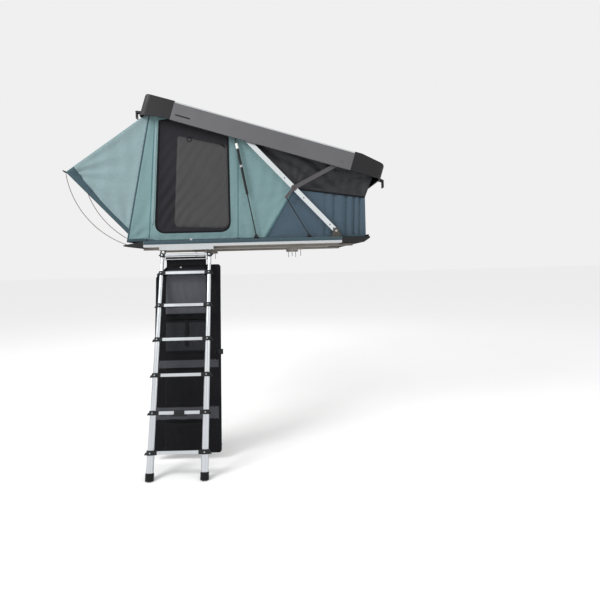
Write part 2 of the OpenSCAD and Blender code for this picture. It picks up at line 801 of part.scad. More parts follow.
module lid_front_cap() {
  w = lid_cap_wall;
  r = 30;
  shoulder = 60;
  lid_cap(lid_l, lid_rail_end,
    concat([[lid_rail_end, lid_h], [lid_rail_end + shoulder, lid_h]],
      corner([lid_rail_end + shoulder, lid_h], [lid_l, front_face_h + 10], [lid_l, 0], r),
      [[lid_l, 0], [lid_rail_end, 0]]),
    concat([[lid_rail_end - 1, lid_h - w], [lid_rail_end + shoulder, lid_h - w]],
      corner([lid_rail_end + shoulder, lid_h - w], [lid_l - w, front_face_h + 10 - w], [lid_l - w, 0], r - w),
      [[lid_l - w, -10], [lid_rail_end - 1, -10]]));
}

// Round bar the awning hangs from, or its bore in the rear cap
module awning_bar(slack) {
  inset = 5;
  translate([awning_s, 0, awning_h]) rotate([90, 0, 0])
    cylinder(r = awning_bar_r + slack, h = 2 * (half_w - inset + slack), center = true);
}

shoe_h = 31;
shoe_l = 140;
guide_h = 6;
guide_d = 8;

module lid_tracks() {
  over = shoe_l / 2 + 15;
  s0 = arm_top_s_closed - over;
  gap = shoe_h / 2 + slip;
  color("#c9ccd0") in_lid() {
    both_sides() near_plate(lid_in, guide_d) {
      translate([s0, pin_h + gap]) square([arm_top_s + over - s0, guide_h]);
      translate([s0, pin_h - gap - guide_h]) square([arm_top_s + over - s0, guide_h]);
    }
    awning_bar(0);
  }
}

module lid_link_pivots() {
  boss_r = 24;
  pin = [lid_pin_s, pin_h];
  color("#8e9194") in_lid() both_sides() {
    near_pin(pin, boss_r, lid_in, lid_in - link_out - slip);
    near_pin(pin, pin_d / 2, lid_in, lid_in - link_in - slip / 2);
  }
}

// Lifting linkage

arm_holes = [33, 77, 407, 652];
arm_hole_r = 6;

module lifting_arms() {
  color("#e4e9eb") both_sides() difference() {
    near_plate(arm_out, arm_t) bar_between(arm_foot, arm_top, arm_w);
    for (d = arm_holes) near_pin(polar(arm_foot, d, arm_dir), arm_hole_r, arm_out + 1, arm_t + 2);
    for (p = [arm_foot, arm_mid]) near_pin(p, pin_d / 2 + bore_slack, arm_out + 1, arm_t + 2);
  }
}

module arm_link_bolts() {
  head_r = pin_d;
  head_t = 3;
  nut_t = 5;
  color("#b4b7ba") both_sides() {
    near_pin(arm_mid, pin_d / 2, link_out + slip, link_out + slip - arm_in);
    near_pin(arm_mid, head_r, link_out + slip + head_t, head_t);
    near_pin(arm_mid, head_r, arm_in, nut_t);
  }
}

knuckle_l = 62;

module link_bars() {
  start = polar(arm_mid, knuckle_l, link_angle);
  color("#77767a") both_sides() difference() {
    near_plate(link_out, link_t) difference() {
      bar_between(start, link_pin, link_w);
      translate(start) rotate(link_angle) translate([-link_w, -link_w]) square([link_w, 2 * link_w]);
    }
    near_pin(link_pin, pin_d / 2 + bore_slack, link_out + 1, link_t + 2);
  }
}

module link_knuckles() {
  disc_r = 27;
  tail_w = 26;
  color("#66666a") both_sides() difference() {
    near_plate(link_out, link_t) {
      translate(arm_mid) circle(disc_r);
      translate(arm_mid) rotate(link_angle) translate([0, -link_w / 2]) square([knuckle_l, link_w]);
      bar_between(arm_mid, tail, tail_w);
    }
    near_pin(arm_mid, pin_d / 2 + bore_slack, link_out + 1, link_t + 2);
  }
}

rod_pin_r = 5;
rod_eye_r = 10;

module control_rods() {
  dir = heading(rod_foot, tail);
  len = norm(tail - rod_foot);
  color("#232426") both_sides() difference() {
    union() {
      near_pin(rod_foot, rod_eye_r, arm_out, arm_t);
      near_pin(tail, rod_eye_r, arm_out, arm_t);
      near_rod(rod_foot, dir, rod_d / 2, rod_eye_r - 2, len - rod_eye_r + 2, (arm_out + arm_in) / 2);
    }
    near_pin(rod_foot, rod_pin_r + bore_slack, arm_out + 1, arm_t + 2);
  }
}

strut_pin_r = 4;
strut_wall = 1.6;

module strut_rods() {
  piston_t = 12;
  piston_r = strut_d / 2 - strut_wall - 0.2;
  end = strut_bare + strut_rod_inside;
  color("#d5d8da") both_sides() {
    difference() {
      near_pin(strut_foot, strut_eye_r, strut_y + strut_eye_t / 2, strut_eye_t);
      near_pin(strut_foot, strut_pin_r + bore_slack, strut_y + strut_eye_t, 2 * strut_eye_t);
    }
    near_rod(strut_foot, strut_dir, strut_rod_d / 2, strut_eye_r - 1.5, end, strut_y);
    near_rod(strut_foot, strut_dir, piston_r, end, end + piston_t, strut_y);
  }
}

module strut_cylinders() {
  end_t = 12;
  neck_r = strut_eye_t / 2 - slip;
  top = strut_bare + strut_body_l;
  color("#1f2022") both_sides() {
    difference() {
      near_rod(strut_foot, strut_dir, strut_d / 2, strut_bare, top, strut_y);
      near_rod(strut_foot, strut_dir, strut_d / 2 - strut_wall, strut_bare + end_t, top - end_t, strut_y);
      near_rod(strut_foot, strut_dir, strut_rod_d / 2 + bore_slack, strut_bare - 1, strut_bare + end_t + 1,
        strut_y);
    }
    near_rod(strut_foot, strut_dir, neck_r, top, strut_len - 2, strut_y);
    near_pin(strut_top, strut_eye_r, strut_y + strut_eye_t / 2, strut_eye_t);
  }
}

module carriages() {
  top = [arm_top_s, pin_h];
  shoe = top - [shoe_l / 2, shoe_h / 2];
  strut_pin = top - [strut_pin_s, strut_pin_h];
  boss_r = 7;
  plate_w = 26;
  shoe_out = lid_in - slip;
  plate_out = lid_in - guide_d - slip;
  color("#9a9da1") in_lid() both_sides() {
    near_plate(shoe_out, shoe_out - plate_out) translate(shoe) square([shoe_l, shoe_h]);
    near_plate(plate_out, plate_out - link_in) {
      translate(shoe) square([shoe_l, shoe_h]);
      bar_between(top, strut_pin, plate_w);
    }
    near_pin(strut_pin, boss_r, link_in, link_in - strut_y - strut_eye_t / 2 - slip);
  }
}

// Awning

module awning_panel() {
  half = awning_under * awning_t / 2;
  top = polar(awning_pin, awning_start, awning_dir);
  color("#93adb0") across(2 * wall_out)
    polygon([top - half, awning_tip - half, awning_tip + half, top + half]);
}

module awning_gussets() {
  drop = awning_under * (awning_t / 2 + seat);
  top_z = awning_pin[1] - 15;
  color("#9bb3b6") both_sides() near_plate(wall_out, gusset_t) polygon([
    awning_foot, [rear_edge_x(top_z) - seat, top_z],
    polar(awning_pin, awning_start, awning_dir) + drop, awning_tip + drop]);
}

// Bowed rod between two points, bulging to the right of the way from p to q
module bowed_rod(p, q, bow, r, y_mid) {
  l = norm(q - p);
  big = (l * l / 4 + bow * bow) / (2 * bow);
  out = heading(p, q) - 90;
  mid = polar((p + q) / 2, bow - big, out);
  sweep = asin(l / (2 * big));
  translate([mid[0], -y_mid, mid[1]]) rotate([90, 0, 0]) rotate([0, 0, out - sweep])
    rotate_extrude(angle = 2 * sweep) translate([big, 0]) circle(r);
}

module awning_rods() {
  r = awning_rod_d / 2;
  y_mid = wall_out + r + seat;
  lift = r + 2 * seat;
  foot_x = base_rear + 12;
  inner_h = 36;
  inner = polar(awning_tip, 0.36 * norm(awning_tip - awning_foot), heading(awning_tip, awning_foot));
  color("#9b9ea2") both_sides() {
    bowed_rod(awning_tip, [foot_x, rear_cap_top(foot_x) + lift], awning_bow, r, y_mid);
    bowed_rod(inner, [foot_x, rail_top + inner_h], inner_bow, r, y_mid);
  }
}

// Latches, hanging from ears on the lid's ends

latch_pin_r = 3;
latch_ear_t = 4;
latch_rear_s = -46;
latch_front_s = lid_l + 30;
latch_h = 4;

module latch_ears(s_end, s_pin) {
  eye = 8;
  gap = latch_w / 2 + slip;
  for (face = [-1, 1]) translate([0, face * (gap + latch_ear_t / 2), 0]) across(latch_ear_t) {
    polygon([[s_end, latch_h + 2 * eye], [s_end, latch_h - eye], [s_pin, latch_h - eye],
      [s_pin, latch_h + eye]]);
    translate([s_pin, latch_h]) circle(eye);
  }
  translate([s_pin, 0, latch_h]) rotate([90, 0, 0]) cylinder(r = latch_pin_r, h = 2 * gap, center = true);
}

module latch_brackets() {
  color("#303133") in_lid() for (y = [-latch_y, latch_y]) translate([0, y, 0]) {
    latch_ears(0, latch_rear_s);
    latch_ears(lid_l, latch_front_s);
  }
}

module latch(s_pin, y, hook) {
  p = lid_at(s_pin, latch_h);
  t = latch_t / 2;
  turn_in = 3 * hook;
  bend_z = -0.75 * latch_l;
  color("#26272a") translate([p[0], y, p[1]]) rotate([90, 0, 0]) linear_extrude(latch_w, center = true)
    difference() {
      polygon([[-t, t], [t, t], [t, bend_z], [t + turn_in, t - latch_l], [-t + turn_in, t - latch_l],
        [-t, bend_z]]);
      circle(latch_pin_r + bore_slack);
    }
}

module latch_rear_near() latch(latch_rear_s, -latch_y, 1);
module latch_rear_far() latch(latch_rear_s, latch_y, 1);
module latch_front_near() latch(latch_front_s, -latch_y, -1);
module latch_front_far() latch(latch_front_s, latch_y, -1);

// Ladder, section 1 at the top

// Inner radius of a section's stiles, which the section above slides in
function stile_bore(k) = k == 0 ? stile_d / 2 - stile_step / 2 + stile_slack : stile_r(k - 1) + stile_slack;
function stile_top(k) = k == 0 ? -stile_lead : rung_at(k) - stile_lead;
function stile_bottom(k) = k == rungs ? stile_end : rung_at(k + 1) + stile_hold;
function socket_x(k) = ladder_w / 2 - stile_r(k) - collar_wall - 14;
crossbar_at = 34;

// Tube between the top stiles, bored where the hinge rod runs through it
module cross_tube(l, bore_r) {
  rotate([0, 90, 0]) difference() {
    cylinder(d = crossbar_d, h = l, center = true);
    if (bore_r > 0) cylinder(r = bore_r, h = l + 2, center = true);
  }
}

module ladder_section(k) {
  top = stile_top(k);
  bottom = stile_bottom(k);
  color("#d9dce1") in_ladder() {
    for (side = [-1, 1]) difference() {
      translate([side * ladder_w / 2, 0, -bottom]) difference() {
        cylinder(r = stile_r(k), h = bottom - top);
        translate([0, 0, -1]) cylinder(r = stile_bore(k), h = bottom - top + 2);
      }
      if (k == 0) rotate([0, 90, 0])
        cylinder(r = hinge_rod_d / 2 + bore_slack, h = 2 * ladder_w, center = true);
    }
    if (k == 0) {
      translate([0, 0, -crossbar_at]) cross_tube(ladder_w - stile_d - 2 * seat, 0);
      cross_tube(ladder_w - stile_d - 2 * (seat + slip + bracket_t), hinge_rod_d / 2 + bore_slack);
    }
    else translate([-socket_x(k), -rung_depth / 2, -rung_at(k) - rung_h / 2])
      cube([2 * socket_x(k), rung_depth, rung_h]);
  }
}

module ladder_collars(k) {
  r = stile_r(k) + collar_wall;
  rim = 6;
  skirt = 16;
  button_r = 7;
  top = stile_top(k);
  color("#26272a") in_ladder() for (side = [-1, 1]) mirror([side < 0 ? 1 : 0, 0, 0])
    translate([ladder_w / 2, 0, 0]) difference() {
      union() {
        translate([0, 0, -rung_at(k) - skirt]) cylinder(r = r, h = rung_at(k) + skirt - top + rim);
        translate([socket_x(k) - ladder_w / 2, -rung_depth / 2 - 2, -rung_at(k) - rung_h / 2 - 3])
          cube([ladder_w / 2 - socket_x(k), rung_depth + 4, rung_h + 6]);
        translate([0, 0, -rung_at(k)]) rotate([90, 0, 0]) cylinder(r = button_r, h = r + 5);
      }
      translate([0, 0, -rung_at(k) - skirt - 1])
        cylinder(r = stile_r(k) + bore_slack, h = rung_at(k) + skirt + 1 - top);
      translate([0, 0, -rung_at(k)]) cylinder(r = stile_r(k - 1) + stile_slack, h = rung_pitch);
    }
}

module ladder_feet() {
  grip = 20;
  color("#1d1e20") in_ladder() for (side = [-1, 1]) translate([side * ladder_w / 2, 0, -stile_end - foot_h])
    difference() {
      cylinder(r = stile_r(rungs) + 5, h = foot_h + grip);
      translate([0, 0, foot_h]) cylinder(r = stile_r(rungs) + bore_slack, h = grip + 1);
    }
}

// Cloth organiser: a sleeve round the lower cross tube, a neck and a panel that hangs near upright
module organiser_panel() {
  side_gap = 8;
  sleeve_t = 3;
  half = ladder_w / 2 - stile_r(0) - bracket_t - side_gap;
  sleeve_r = crossbar_d / 2 + sleeve_t;
  panel_t = 10;
  neck = 60;
  cut_corner = 100;
  left = organiser_shift - organiser_w / 2;
  right = organiser_shift + organiser_w / 2;
  rear = organiser_back + panel_t;
  color("#232428") in_ladder() translate([0, 0, -crossbar_at]) rotate([ladder_lean - organiser_lean, 0, 0]) {
    rotate([0, 90, 0]) difference() {
      cylinder(r = sleeve_r, h = 2 * half, center = true);
      cylinder(r = crossbar_d / 2 + slip, h = 2 * half + 2, center = true);
    }
    along_x(-half, half) polygon([[4, 1 - sleeve_r], [sleeve_r - 1, -4], [rear, 10 - neck],
      [rear, -neck], [organiser_back, -neck], [organiser_back, 8 - neck]]);
    translate([0, rear, 0]) rotate([90, 0, 0]) linear_extrude(panel_t)
      polygon([[left, -organiser_l], [right, -organiser_l], [right, -neck], [left + cut_corner, -neck],
        [left, -neck - cut_corner]]);
  }
}

module ladder_section_1() ladder_section(0);
module ladder_section_2() ladder_section(1);
module ladder_section_3() ladder_section(2);
module ladder_section_4() ladder_section(3);
module ladder_section_5() ladder_section(4);
module ladder_section_6() ladder_section(5);
module ladder_section_7() ladder_section(6);
module ladder_collars_2() ladder_collars(1);
module ladder_collars_3() ladder_collars(2);
module ladder_collars_4() ladder_collars(3);
module ladder_collars_5() ladder_collars(4);
module ladder_collars_6() ladder_collars(5);
module ladder_collars_7() ladder_collars(6);

floor_panel();
base_rails();
base_rear_cap();
base_front_cap();
mounting_channels();
roof_bar_studs();
base_seals();
mattress();
arm_base_brackets();
arm_base_pins();
strut_and_rod_feet();
latch_keepers();
ladder_mount_bar();
ladder_hinge_brackets();
rear_side_walls();
front_side_walls();
upper_side_walls();
front_wall();
rear_wall();
hem_bands();
door_screens();
door_bindings();
lid_rails();
lid_roof_panel();
lid_headliner();
lid_rear_cap();
lid_front_cap();
lid_tracks();
lid_link_pivots();
latch_brackets();
lifting_arms();
arm_link_bolts();
link_bars();
link_knuckles();
control_rods();
strut_rods();
strut_cylinders();
carriages();
awning_panel();
awning_gussets();
awning_rods();
latch_rear_near();
latch_rear_far();
latch_front_near();
latch_front_far();
ladder_section_1();
ladder_section_2();
ladder_section_3();
ladder_section_4();
ladder_section_5();
ladder_section_6();
ladder_section_7();
ladder_collars_2();
ladder_collars_3();
ladder_collars_4();
ladder_collars_5();
ladder_collars_6();
ladder_collars_7();
ladder_feet();
organiser_panel();
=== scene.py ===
# %% [markdown]
# # A hard-shell roof top tent, dressed
# The solids give every rigid piece its shape and place. This lesson dresses them: it paints the metal and
# the mouldings, and it sews the cabin, the awning, the mattress and the ladder's organiser as cloth. Cloth
# is cut flat, as a sailmaker does it, and then placed on the planes of the frame with its folds.

# %% Load the frame
import json
import math

import bpy
import bmesh
from mathutils import Matrix, Vector, noise
from mathutils.geometry import delaunay_2d_cdt


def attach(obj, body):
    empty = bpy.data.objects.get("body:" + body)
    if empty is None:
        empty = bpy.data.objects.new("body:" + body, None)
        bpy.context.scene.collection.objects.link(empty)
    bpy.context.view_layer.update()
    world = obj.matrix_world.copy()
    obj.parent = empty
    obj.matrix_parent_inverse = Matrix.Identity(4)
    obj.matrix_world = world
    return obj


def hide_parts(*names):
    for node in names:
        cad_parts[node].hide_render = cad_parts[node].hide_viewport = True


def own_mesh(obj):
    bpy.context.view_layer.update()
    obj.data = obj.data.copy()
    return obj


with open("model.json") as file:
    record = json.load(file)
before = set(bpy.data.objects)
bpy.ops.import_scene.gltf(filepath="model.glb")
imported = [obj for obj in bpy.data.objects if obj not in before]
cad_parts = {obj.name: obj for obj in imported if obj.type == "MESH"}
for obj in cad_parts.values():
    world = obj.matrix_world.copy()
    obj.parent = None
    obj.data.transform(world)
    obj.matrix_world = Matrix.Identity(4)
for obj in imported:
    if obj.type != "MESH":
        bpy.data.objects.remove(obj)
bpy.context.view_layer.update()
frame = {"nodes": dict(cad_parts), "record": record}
nodes = frame["nodes"]
joints = {j["name"]: j for j in frame["record"]["behaviour"]["joints"]}
print("solids loaded:", len(nodes))

# %% [markdown]
# ## Key points
# The folding linkage fixes the lid, and the lid fixes the cloth. The lid's own frame runs forward along its
# lower edge (s) and up from that edge (h), so a point on the lid is easy to name. Taking the pivots from the
# record keeps the cloth on the frame.

# %% Key points of the tent, in metres, as (x, z)
SIDES = ((-1, "near"), (1, "far"))
RAIL_TOP, FLOOR = 0.095, 0.07
WALL_Y, LID_HALF = 0.612, 0.68
REAR_X, LEAN = -1.066, math.radians(11.2)
KNEE_X, KNEE_Z = 1.06, 0.444
AWNING_SLOPE, AWNING_L, AWNING_START = 34.2, 0.885, 0.0065
# Cloth stands 0.3 mm clear of the end caps and, in the well between them, of the floor
CAP_FOOT, WELL_FOOT = 0.0953, 0.0703
WELL_REAR, WELL_FRONT = -0.905, 0.835
# The link's pin on the lid (s, h), and the height in the lid up to which the walls reach
LID_PIN, WALL_HEAD = (1.83, 0.052), 0.1
# Distances along the arm, from its foot, at which the side seams meet
SEAM_MID_L, SEAM_TOP_L = 0.53, 1.286
GUSSET_CLEAR = 0.0005


def vec2(x, y):
    return Vector((x, y))


def heading(angle):
    return vec2(math.cos(angle), math.sin(angle))


def polar(p, r, degrees):
    return p + r * heading(math.radians(degrees))


def at_y(q, y):
    """A point (x, z) in space, at a distance y from the middle plane."""
    return Vector((q.x, y, q.y))


def pivot(name):
    x, _, z = joints[name]["pos_m"]
    return vec2(x, z)


slide = joints["carriage_slide"]["axis"]
LID_S = vec2(-slide[0], -slide[2])
LID_UP = vec2(slide[2], -slide[0])
LID_CORNER = pivot("lid_tilt") - LID_PIN[0] * LID_S - LID_PIN[1] * LID_UP


def lid_at(s, h):
    return LID_CORNER + s * LID_S + h * LID_UP


def under_lid(x, h):
    """The point at x that lies at the height h of the lid."""
    return lid_at((x - LID_CORNER.x - h * LID_UP.x) / LID_S.x, h)


def rear_at(z, clear=0.0):
    """A point of the rear wall, or a little behind it."""
    return vec2(REAR_X + (z - RAIL_TOP) * math.tan(LEAN) - clear, z)


arm_foot, arm_mid = pivot("lid_lift"), pivot("link_fold")
arm_dir = math.degrees(math.atan2(arm_mid.y - arm_foot.y, arm_mid.x - arm_foot.x))
seam_foot = vec2(0.14, FLOOR)
seam_mid = polar(arm_foot, SEAM_MID_L, arm_dir)
seam_top = polar(arm_foot, SEAM_TOP_L, arm_dir)
knee = vec2(KNEE_X, KNEE_Z)
front_top = knee.lerp(under_lid(1.164, WALL_HEAD), 0.76)
rear_foot, rear_top = rear_at(CAP_FOOT), lid_at(0.0645, WALL_HEAD)
awning_pin = pivot("awning_fold")
awning_dir = 180 + AWNING_SLOPE
awning_tip = polar(awning_pin, AWNING_L, awning_dir)
awning_foot = rear_at(0.165, GUSSET_CLEAR)
lid_tilt = math.degrees(math.atan2(-LID_S.y, LID_S.x))
print("lid tilt", round(lid_tilt, 2), "awning tip", [round(c, 3) for c in awning_tip])

# %% [markdown]
# ## Materials
# Each material is named for what it is and gets its pattern at a real scale: a ripstop grid every six
# millimetres, a moulded grain of about a millimetre, drawn streaks along an extrusion. Colours are read as
# screen colours and turned to linear light in one place.

# %% Small helpers for shader nodes
def linear(colour):
    """Screen colour in hex to linear red, green, blue, alpha."""
    parts = [int(colour[i:i + 2], 16) / 255 for i in (1, 3, 5)]
    return [c / 12.92 if c <= 0.04045 else ((c + 0.055) / 1.055) ** 2.4 for c in parts] + [1.0]


def add(tree, kind, inputs=None, **settings):
    """One shader node with its settings, and values or links on its inputs."""
    node = tree.nodes.new(kind)
    for key, value in settings.items():
        setattr(node, key, value)
    for key, value in (inputs or {}).items():
        if isinstance(value, bpy.types.NodeSocket):
            tree.links.new(value, node.inputs[key])
        else:
            node.inputs[key].default_value = value
    return node


def start(name, **shader):
    """A material, its node tree and object coordinates, with constants on the shader's own sockets."""
    made = bpy.data.materials.new(name)
    made.use_nodes = True
    tree = made.node_tree
    for key, value in shader.items():
        tree.nodes["Principled BSDF"].inputs[key.replace("_", " ")].default_value = value
    return made, tree, add(tree, "ShaderNodeTexCoord").outputs["Object"]


def join(tree, **wires):
    """Patterns joined to the shader's sockets."""
    for key, value in wires.items():
        tree.links.new(value, tree.nodes["Principled BSDF"].inputs[key.replace("_", " ")])


def shade(tree, colour, fac, light, dark):
    """A colour that runs from dark to light times itself as fac goes from 0 to 1."""
    base = linear(colour)
    pair = [[c * k for c in base[:3]] + [1.0] for k in (dark, light)]
    mix = add(tree, "ShaderNodeMix", {0: fac, 6: pair[0], 7: pair[1]}, data_type="RGBA")
    return mix.outputs[2]


def noise_fac(tree, co, scale, detail=3.0, rough=0.55):
    inputs = {"Vector": co, "Scale": scale, "Detail": detail, "Roughness": rough}
    return add(tree, "ShaderNodeTexNoise", inputs).outputs["Fac"]


def stripes(tree, co, axis, period):
    """Soft bands across an axis that repeat after a real distance."""
    inputs = {"Vector": co, "Scale": 2 * math.pi / (20 * period)}
    return add(tree, "ShaderNodeTexWave", inputs, bands_direction=axis).outputs["Fac"]


def maths(tree, operation, a, b=0.0):
    return add(tree, "ShaderNodeMath", {0: a, 1: b}, operation=operation).outputs[0]


def blend(tree, a, share_a, b, share_b):
    """Sum of two patterns by their shares."""
    return maths(tree, "ADD", maths(tree, "MULTIPLY", a, share_a), maths(tree, "MULTIPLY", b, share_b))


def ramp(tree, value, low, high, first=0.0, last=1.0):
    """A pattern that goes from first to last as the value goes from low to high."""
    inputs = {"Value": value, 1: low, 2: high, 3: first, 4: last}
    return add(tree, "ShaderNodeMapRange", inputs).outputs[0]


def bump(tree, height, depth, strength=1.0, **below):
    inputs = {"Height": height, "Distance": depth, "Strength": strength, **below}
    return add(tree, "ShaderNodeBump", inputs).outputs["Normal"]


def stretched(tree, co, factors):
    """Coordinates scaled by axis, for streaks."""
    return add(tree, "ShaderNodeVectorMath", {0: co, 1: factors}, operation="MULTIPLY").outputs[0]


# %% Cloth, net, metal and coated pieces
def cloth(name, colour, pitch=0.0022, ripstop=0.0, sheen=0.12, tone=0.10, grain=0.0006, rough=0.86,
          gloss=0.12):
    """Woven cloth: weave, cloudy tone, fine creases and, where asked, a ripstop grid and a coated gloss."""
    made, tree, co = start(name, Roughness=rough, Sheen_Weight=sheen, Sheen_Roughness=0.45,
                           Specular_IOR_Level=gloss)
    cloud = blend(tree, noise_fac(tree, co, 3.5), 0.7, noise_fac(tree, co, 45.0), 0.3)
    weave = maths(tree, "MULTIPLY", stripes(tree, co, "X", pitch), stripes(tree, co, "Z", pitch))
    height = maths(tree, "MULTIPLY", weave, 0.5)
    for axis in ("X", "Z") if ripstop else ():
        thread = maths(tree, "POWER", stripes(tree, co, axis, ripstop), 12.0)
        height = maths(tree, "ADD", height, thread)
    creases = noise_fac(tree, stretched(tree, co, (9.0, 9.0, 14.0)), 2.2, 5.0, 0.6)
    woven = bump(tree, height, grain, 0.6)
    join(tree, Base_Color=shade(tree, colour, cloud, 1 + tone, 1 - tone),
         Normal=bump(tree, creases, 0.011, 0.5, Normal=woven))
    return made


def net(name, colour, hole=0.0028, tone=0.12):
    """Knitted insect net: round holes darken a plain colour."""
    made, tree, co = start(name, Roughness=0.8, Specular_IOR_Level=0.12)
    cells = add(tree, "ShaderNodeTexVoronoi", {"Vector": co, "Scale": 1 / hole, "Randomness": 0.15})
    thread = ramp(tree, cells.outputs["Distance"], 0.2, 0.55)
    cloud = blend(tree, thread, 0.35, noise_fac(tree, co, 4.0), 0.65)
    join(tree, Base_Color=shade(tree, colour, cloud, 1 + tone, 1 - 1.6 * tone),
         Normal=bump(tree, thread, 0.0007, 0.6))
    return made


def metal(name, colour, rough=0.3, streak=(4.0, 90.0, 90.0), tone=0.06, edge="#ffffff"):
    """Drawn or brushed metal: streaks vary its tone, smears its gloss, and an edge tint rounds tubes; a dark
    tint is painted shade at a tube's sides.
    """
    made, tree, co = start(name, Metallic=1.0, Specular_Tint=linear(edge))
    lines = noise_fac(tree, stretched(tree, co, streak), 9.0, 4.0)
    smear = noise_fac(tree, co, 6.0, 3.0)
    join(tree, Base_Color=shade(tree, colour, lines, 1 + tone, 1 - tone),
         Roughness=ramp(tree, smear, 0.25, 0.75, rough - 0.06, rough + 0.1),
         Normal=bump(tree, lines, 0.0002, 0.4))
    return made


def coat(name, colour, rough=0.45, grain=0.0012, depth=0.0003, tone=0.07, metallic=0.0, gloss=0.5):
    """Moulded plastic, powder coat or rubber: a fine grain, cloudy tone and paler rubbed places."""
    made, tree, co = start(name, Metallic=metallic, Specular_IOR_Level=gloss)
    fine = noise_fac(tree, co, 1 / grain, 2.0)
    cloud = noise_fac(tree, co, 5.0, 4.0)
    rubbed = ramp(tree, add(tree, "ShaderNodeNewGeometry").outputs["Pointiness"], 0.5, 0.62)
    wear = blend(tree, cloud, 0.7, rubbed, maths(tree, "MULTIPLY", cloud, 0.6))
    join(tree, Base_Color=shade(tree, colour, wear, 1 + 2 * tone, 1 - tone),
         Roughness=ramp(tree, cloud, 0.3, 0.7, rough - 0.05, rough + 0.07),
         Normal=bump(tree, fine, depth, 0.5))
    return made


# %% The tent's materials
RIPSTOP = 0.006
EVEN = (30.0, 30.0, 30.0)
teal_canvas = cloth("teal ripstop canvas", "#728d8f", ripstop=RIPSTOP)
awning_canvas = cloth("light teal ripstop canvas", "#7e9295", ripstop=RIPSTOP)
slate_canvas = cloth("slate ripstop canvas", "#495965", ripstop=RIPSTOP)
hem_canvas = cloth("slate hem canvas", "#3e5058", tone=0.07)
black_canvas = cloth("black ripstop canvas", "#1f2025", ripstop=RIPSTOP, sheen=0.1, rough=0.5, gloss=0.4)
bag_canvas = cloth("black coated polyester", "#121215", sheen=0.05, grain=0.0009, rough=0.6, gloss=0.1)
pocket_canvas = cloth("charcoal polyester", "#242529", sheen=0.08, grain=0.0009, rough=0.65, gloss=0.15)
tape = cloth("black binding tape", "#17181b", pitch=0.003, sheen=0.05, grain=0.0009)
seam_tape = cloth("dark teal seam tape", "#4f6f74", pitch=0.003)
# The strong cloudy tone of the webbing is painted sheen on the bands.
grey_webbing = cloth("grey webbing", "#45464b", pitch=0.003, sheen=0.1, tone=0.22, grain=0.0009)
liner = cloth("grey quilted lining", "#a9adaf")
cover = cloth("grey mattress cover", "#858a8e")
screen_net = net("black insect net", "#27272b")
window_net = net("grey see-through net", "#444445")
pocket_net = net("grey pocket net", "#4d4e53", hole=0.0045)
bright_metal = metal("bright anodised aluminium", "#e3e8ea", 0.28)
rail_metal = metal("silver anodised aluminium", "#d2d5d7", 0.32)
lid_metal = coat("grey powder-coated aluminium", "#5c5b5e", 0.42, grain=0.0007, depth=0.00015,
                 metallic=0.15, gloss=0.35)
roof_skin = coat("grey textured composite", "#4c4d50", 0.55, grain=0.003, depth=0.0005, gloss=0.3)
# Darkened as painted shade for the shadow under the base; the lid tracks and carriages take the same colour.
shaded_channel_metal = metal("mill aluminium", "#918c86", 0.42)
# The dark edge tint is painted shade: it darkens the stiles' sides so the tubes look round.
ladder_metal = metal("satin ladder aluminium", "#d3d7db", 0.3, streak=(90.0, 90.0, 4.0), edge="#3a3d42")
link_metal = coat("grey cast aluminium", "#514f52", 0.4, grain=0.0016, metallic=0.4, gloss=0.35)
bracket_metal = coat("bronze-grey casting", "#4b4743", 0.45, grain=0.002, metallic=0.4, gloss=0.35)
zinc = metal("zinc-plated steel", "#b4b7ba", 0.35, streak=EVEN)
dark_steel = coat("black powder-coated steel", "#17181a", 0.4, grain=0.0008, gloss=0.3)
strut_steel = metal("dark hard-chromed rod", "#3b3e41", 0.25, streak=(20.0, 20.0, 4.0))
spring_steel = metal("spring-steel wire", "#918e8a", 0.35, streak=EVEN)
moulding = coat("black moulded cap", "#19191b", 0.5, grain=0.0014, depth=0.0004, gloss=0.3)
plastic = coat("black nylon", "#18191b", 0.45, grain=0.0011, gloss=0.3)
rubber = coat("black rubber", "#141516", 0.7, grain=0.0015, depth=0.0004, gloss=0.2)
# White as a painted highlight on the strut's bright metal end fitting.
highlight_white_plastic = coat("white nylon end fitting", "#e6e6e4", 0.4)
pale_plastic = coat("pale grey nylon", "#9a9ca0", 0.45)
board = coat("sealed floor board", "#625f58", 0.6, grain=0.004, depth=0.0003)
print("materials:", len(bpy.data.materials))

# %% [markdown]
# ## Paint the solids
# The rigid pieces keep the exact shapes of the solids and take a finish each. The list follows the
# record's nodes, so nothing is left with a plain colour.

# %% Finishes of the rigid solids
def nodes_called(*starts):
    return [name for name in nodes if name.startswith(starts)]


FINISH = {
    rail_metal: ["base_rails", "ladder_mount_bar"],
    bright_metal: ["lifting_arms"],
    board: ["floor_panel"],
    moulding: ["base_rear_cap", "base_front_cap", "lid_rear_cap", "lid_front_cap"],
    shaded_channel_metal: ["mounting_channels", "lid_tracks", "carriages"],
    zinc: ["roof_bar_studs", "arm_base_pins", "latch_keepers", "lid_link_pivots"],
    rubber: ["base_seals", "ladder_feet"],
    bracket_metal: ["arm_base_brackets", "arm_link_bolts"],
    dark_steel: ["strut_and_rod_feet", "ladder_hinge_brackets", "control_rods", "strut_cylinders"],
    lid_metal: ["lid_rails"],
    roof_skin: ["lid_roof_panel"],
    link_metal: ["link_bars", "link_knuckles"],
    strut_steel: ["strut_rods"],
    plastic: ["latch_brackets", *nodes_called("latch_rear", "latch_front", "ladder_collars")],
    ladder_metal: nodes_called("ladder_section"),
}
for material, names in FINISH.items():
    for name in names:
        nodes[name].data.materials.clear()
        nodes[name].data.materials.append(material)
print("painted solids:", sum(len(v) for v in FINISH.values()))

# %% [markdown]
# ## Sewing helpers
# A cloth piece starts as a flat outline. The outline is filled with small triangles, and each point is then
# placed on its plane with the depth of its folds. A simulation would take longer and would not know where
# the maker's seams pull, so the folds are drawn by rule: they fade at every seam and fan out from corners.

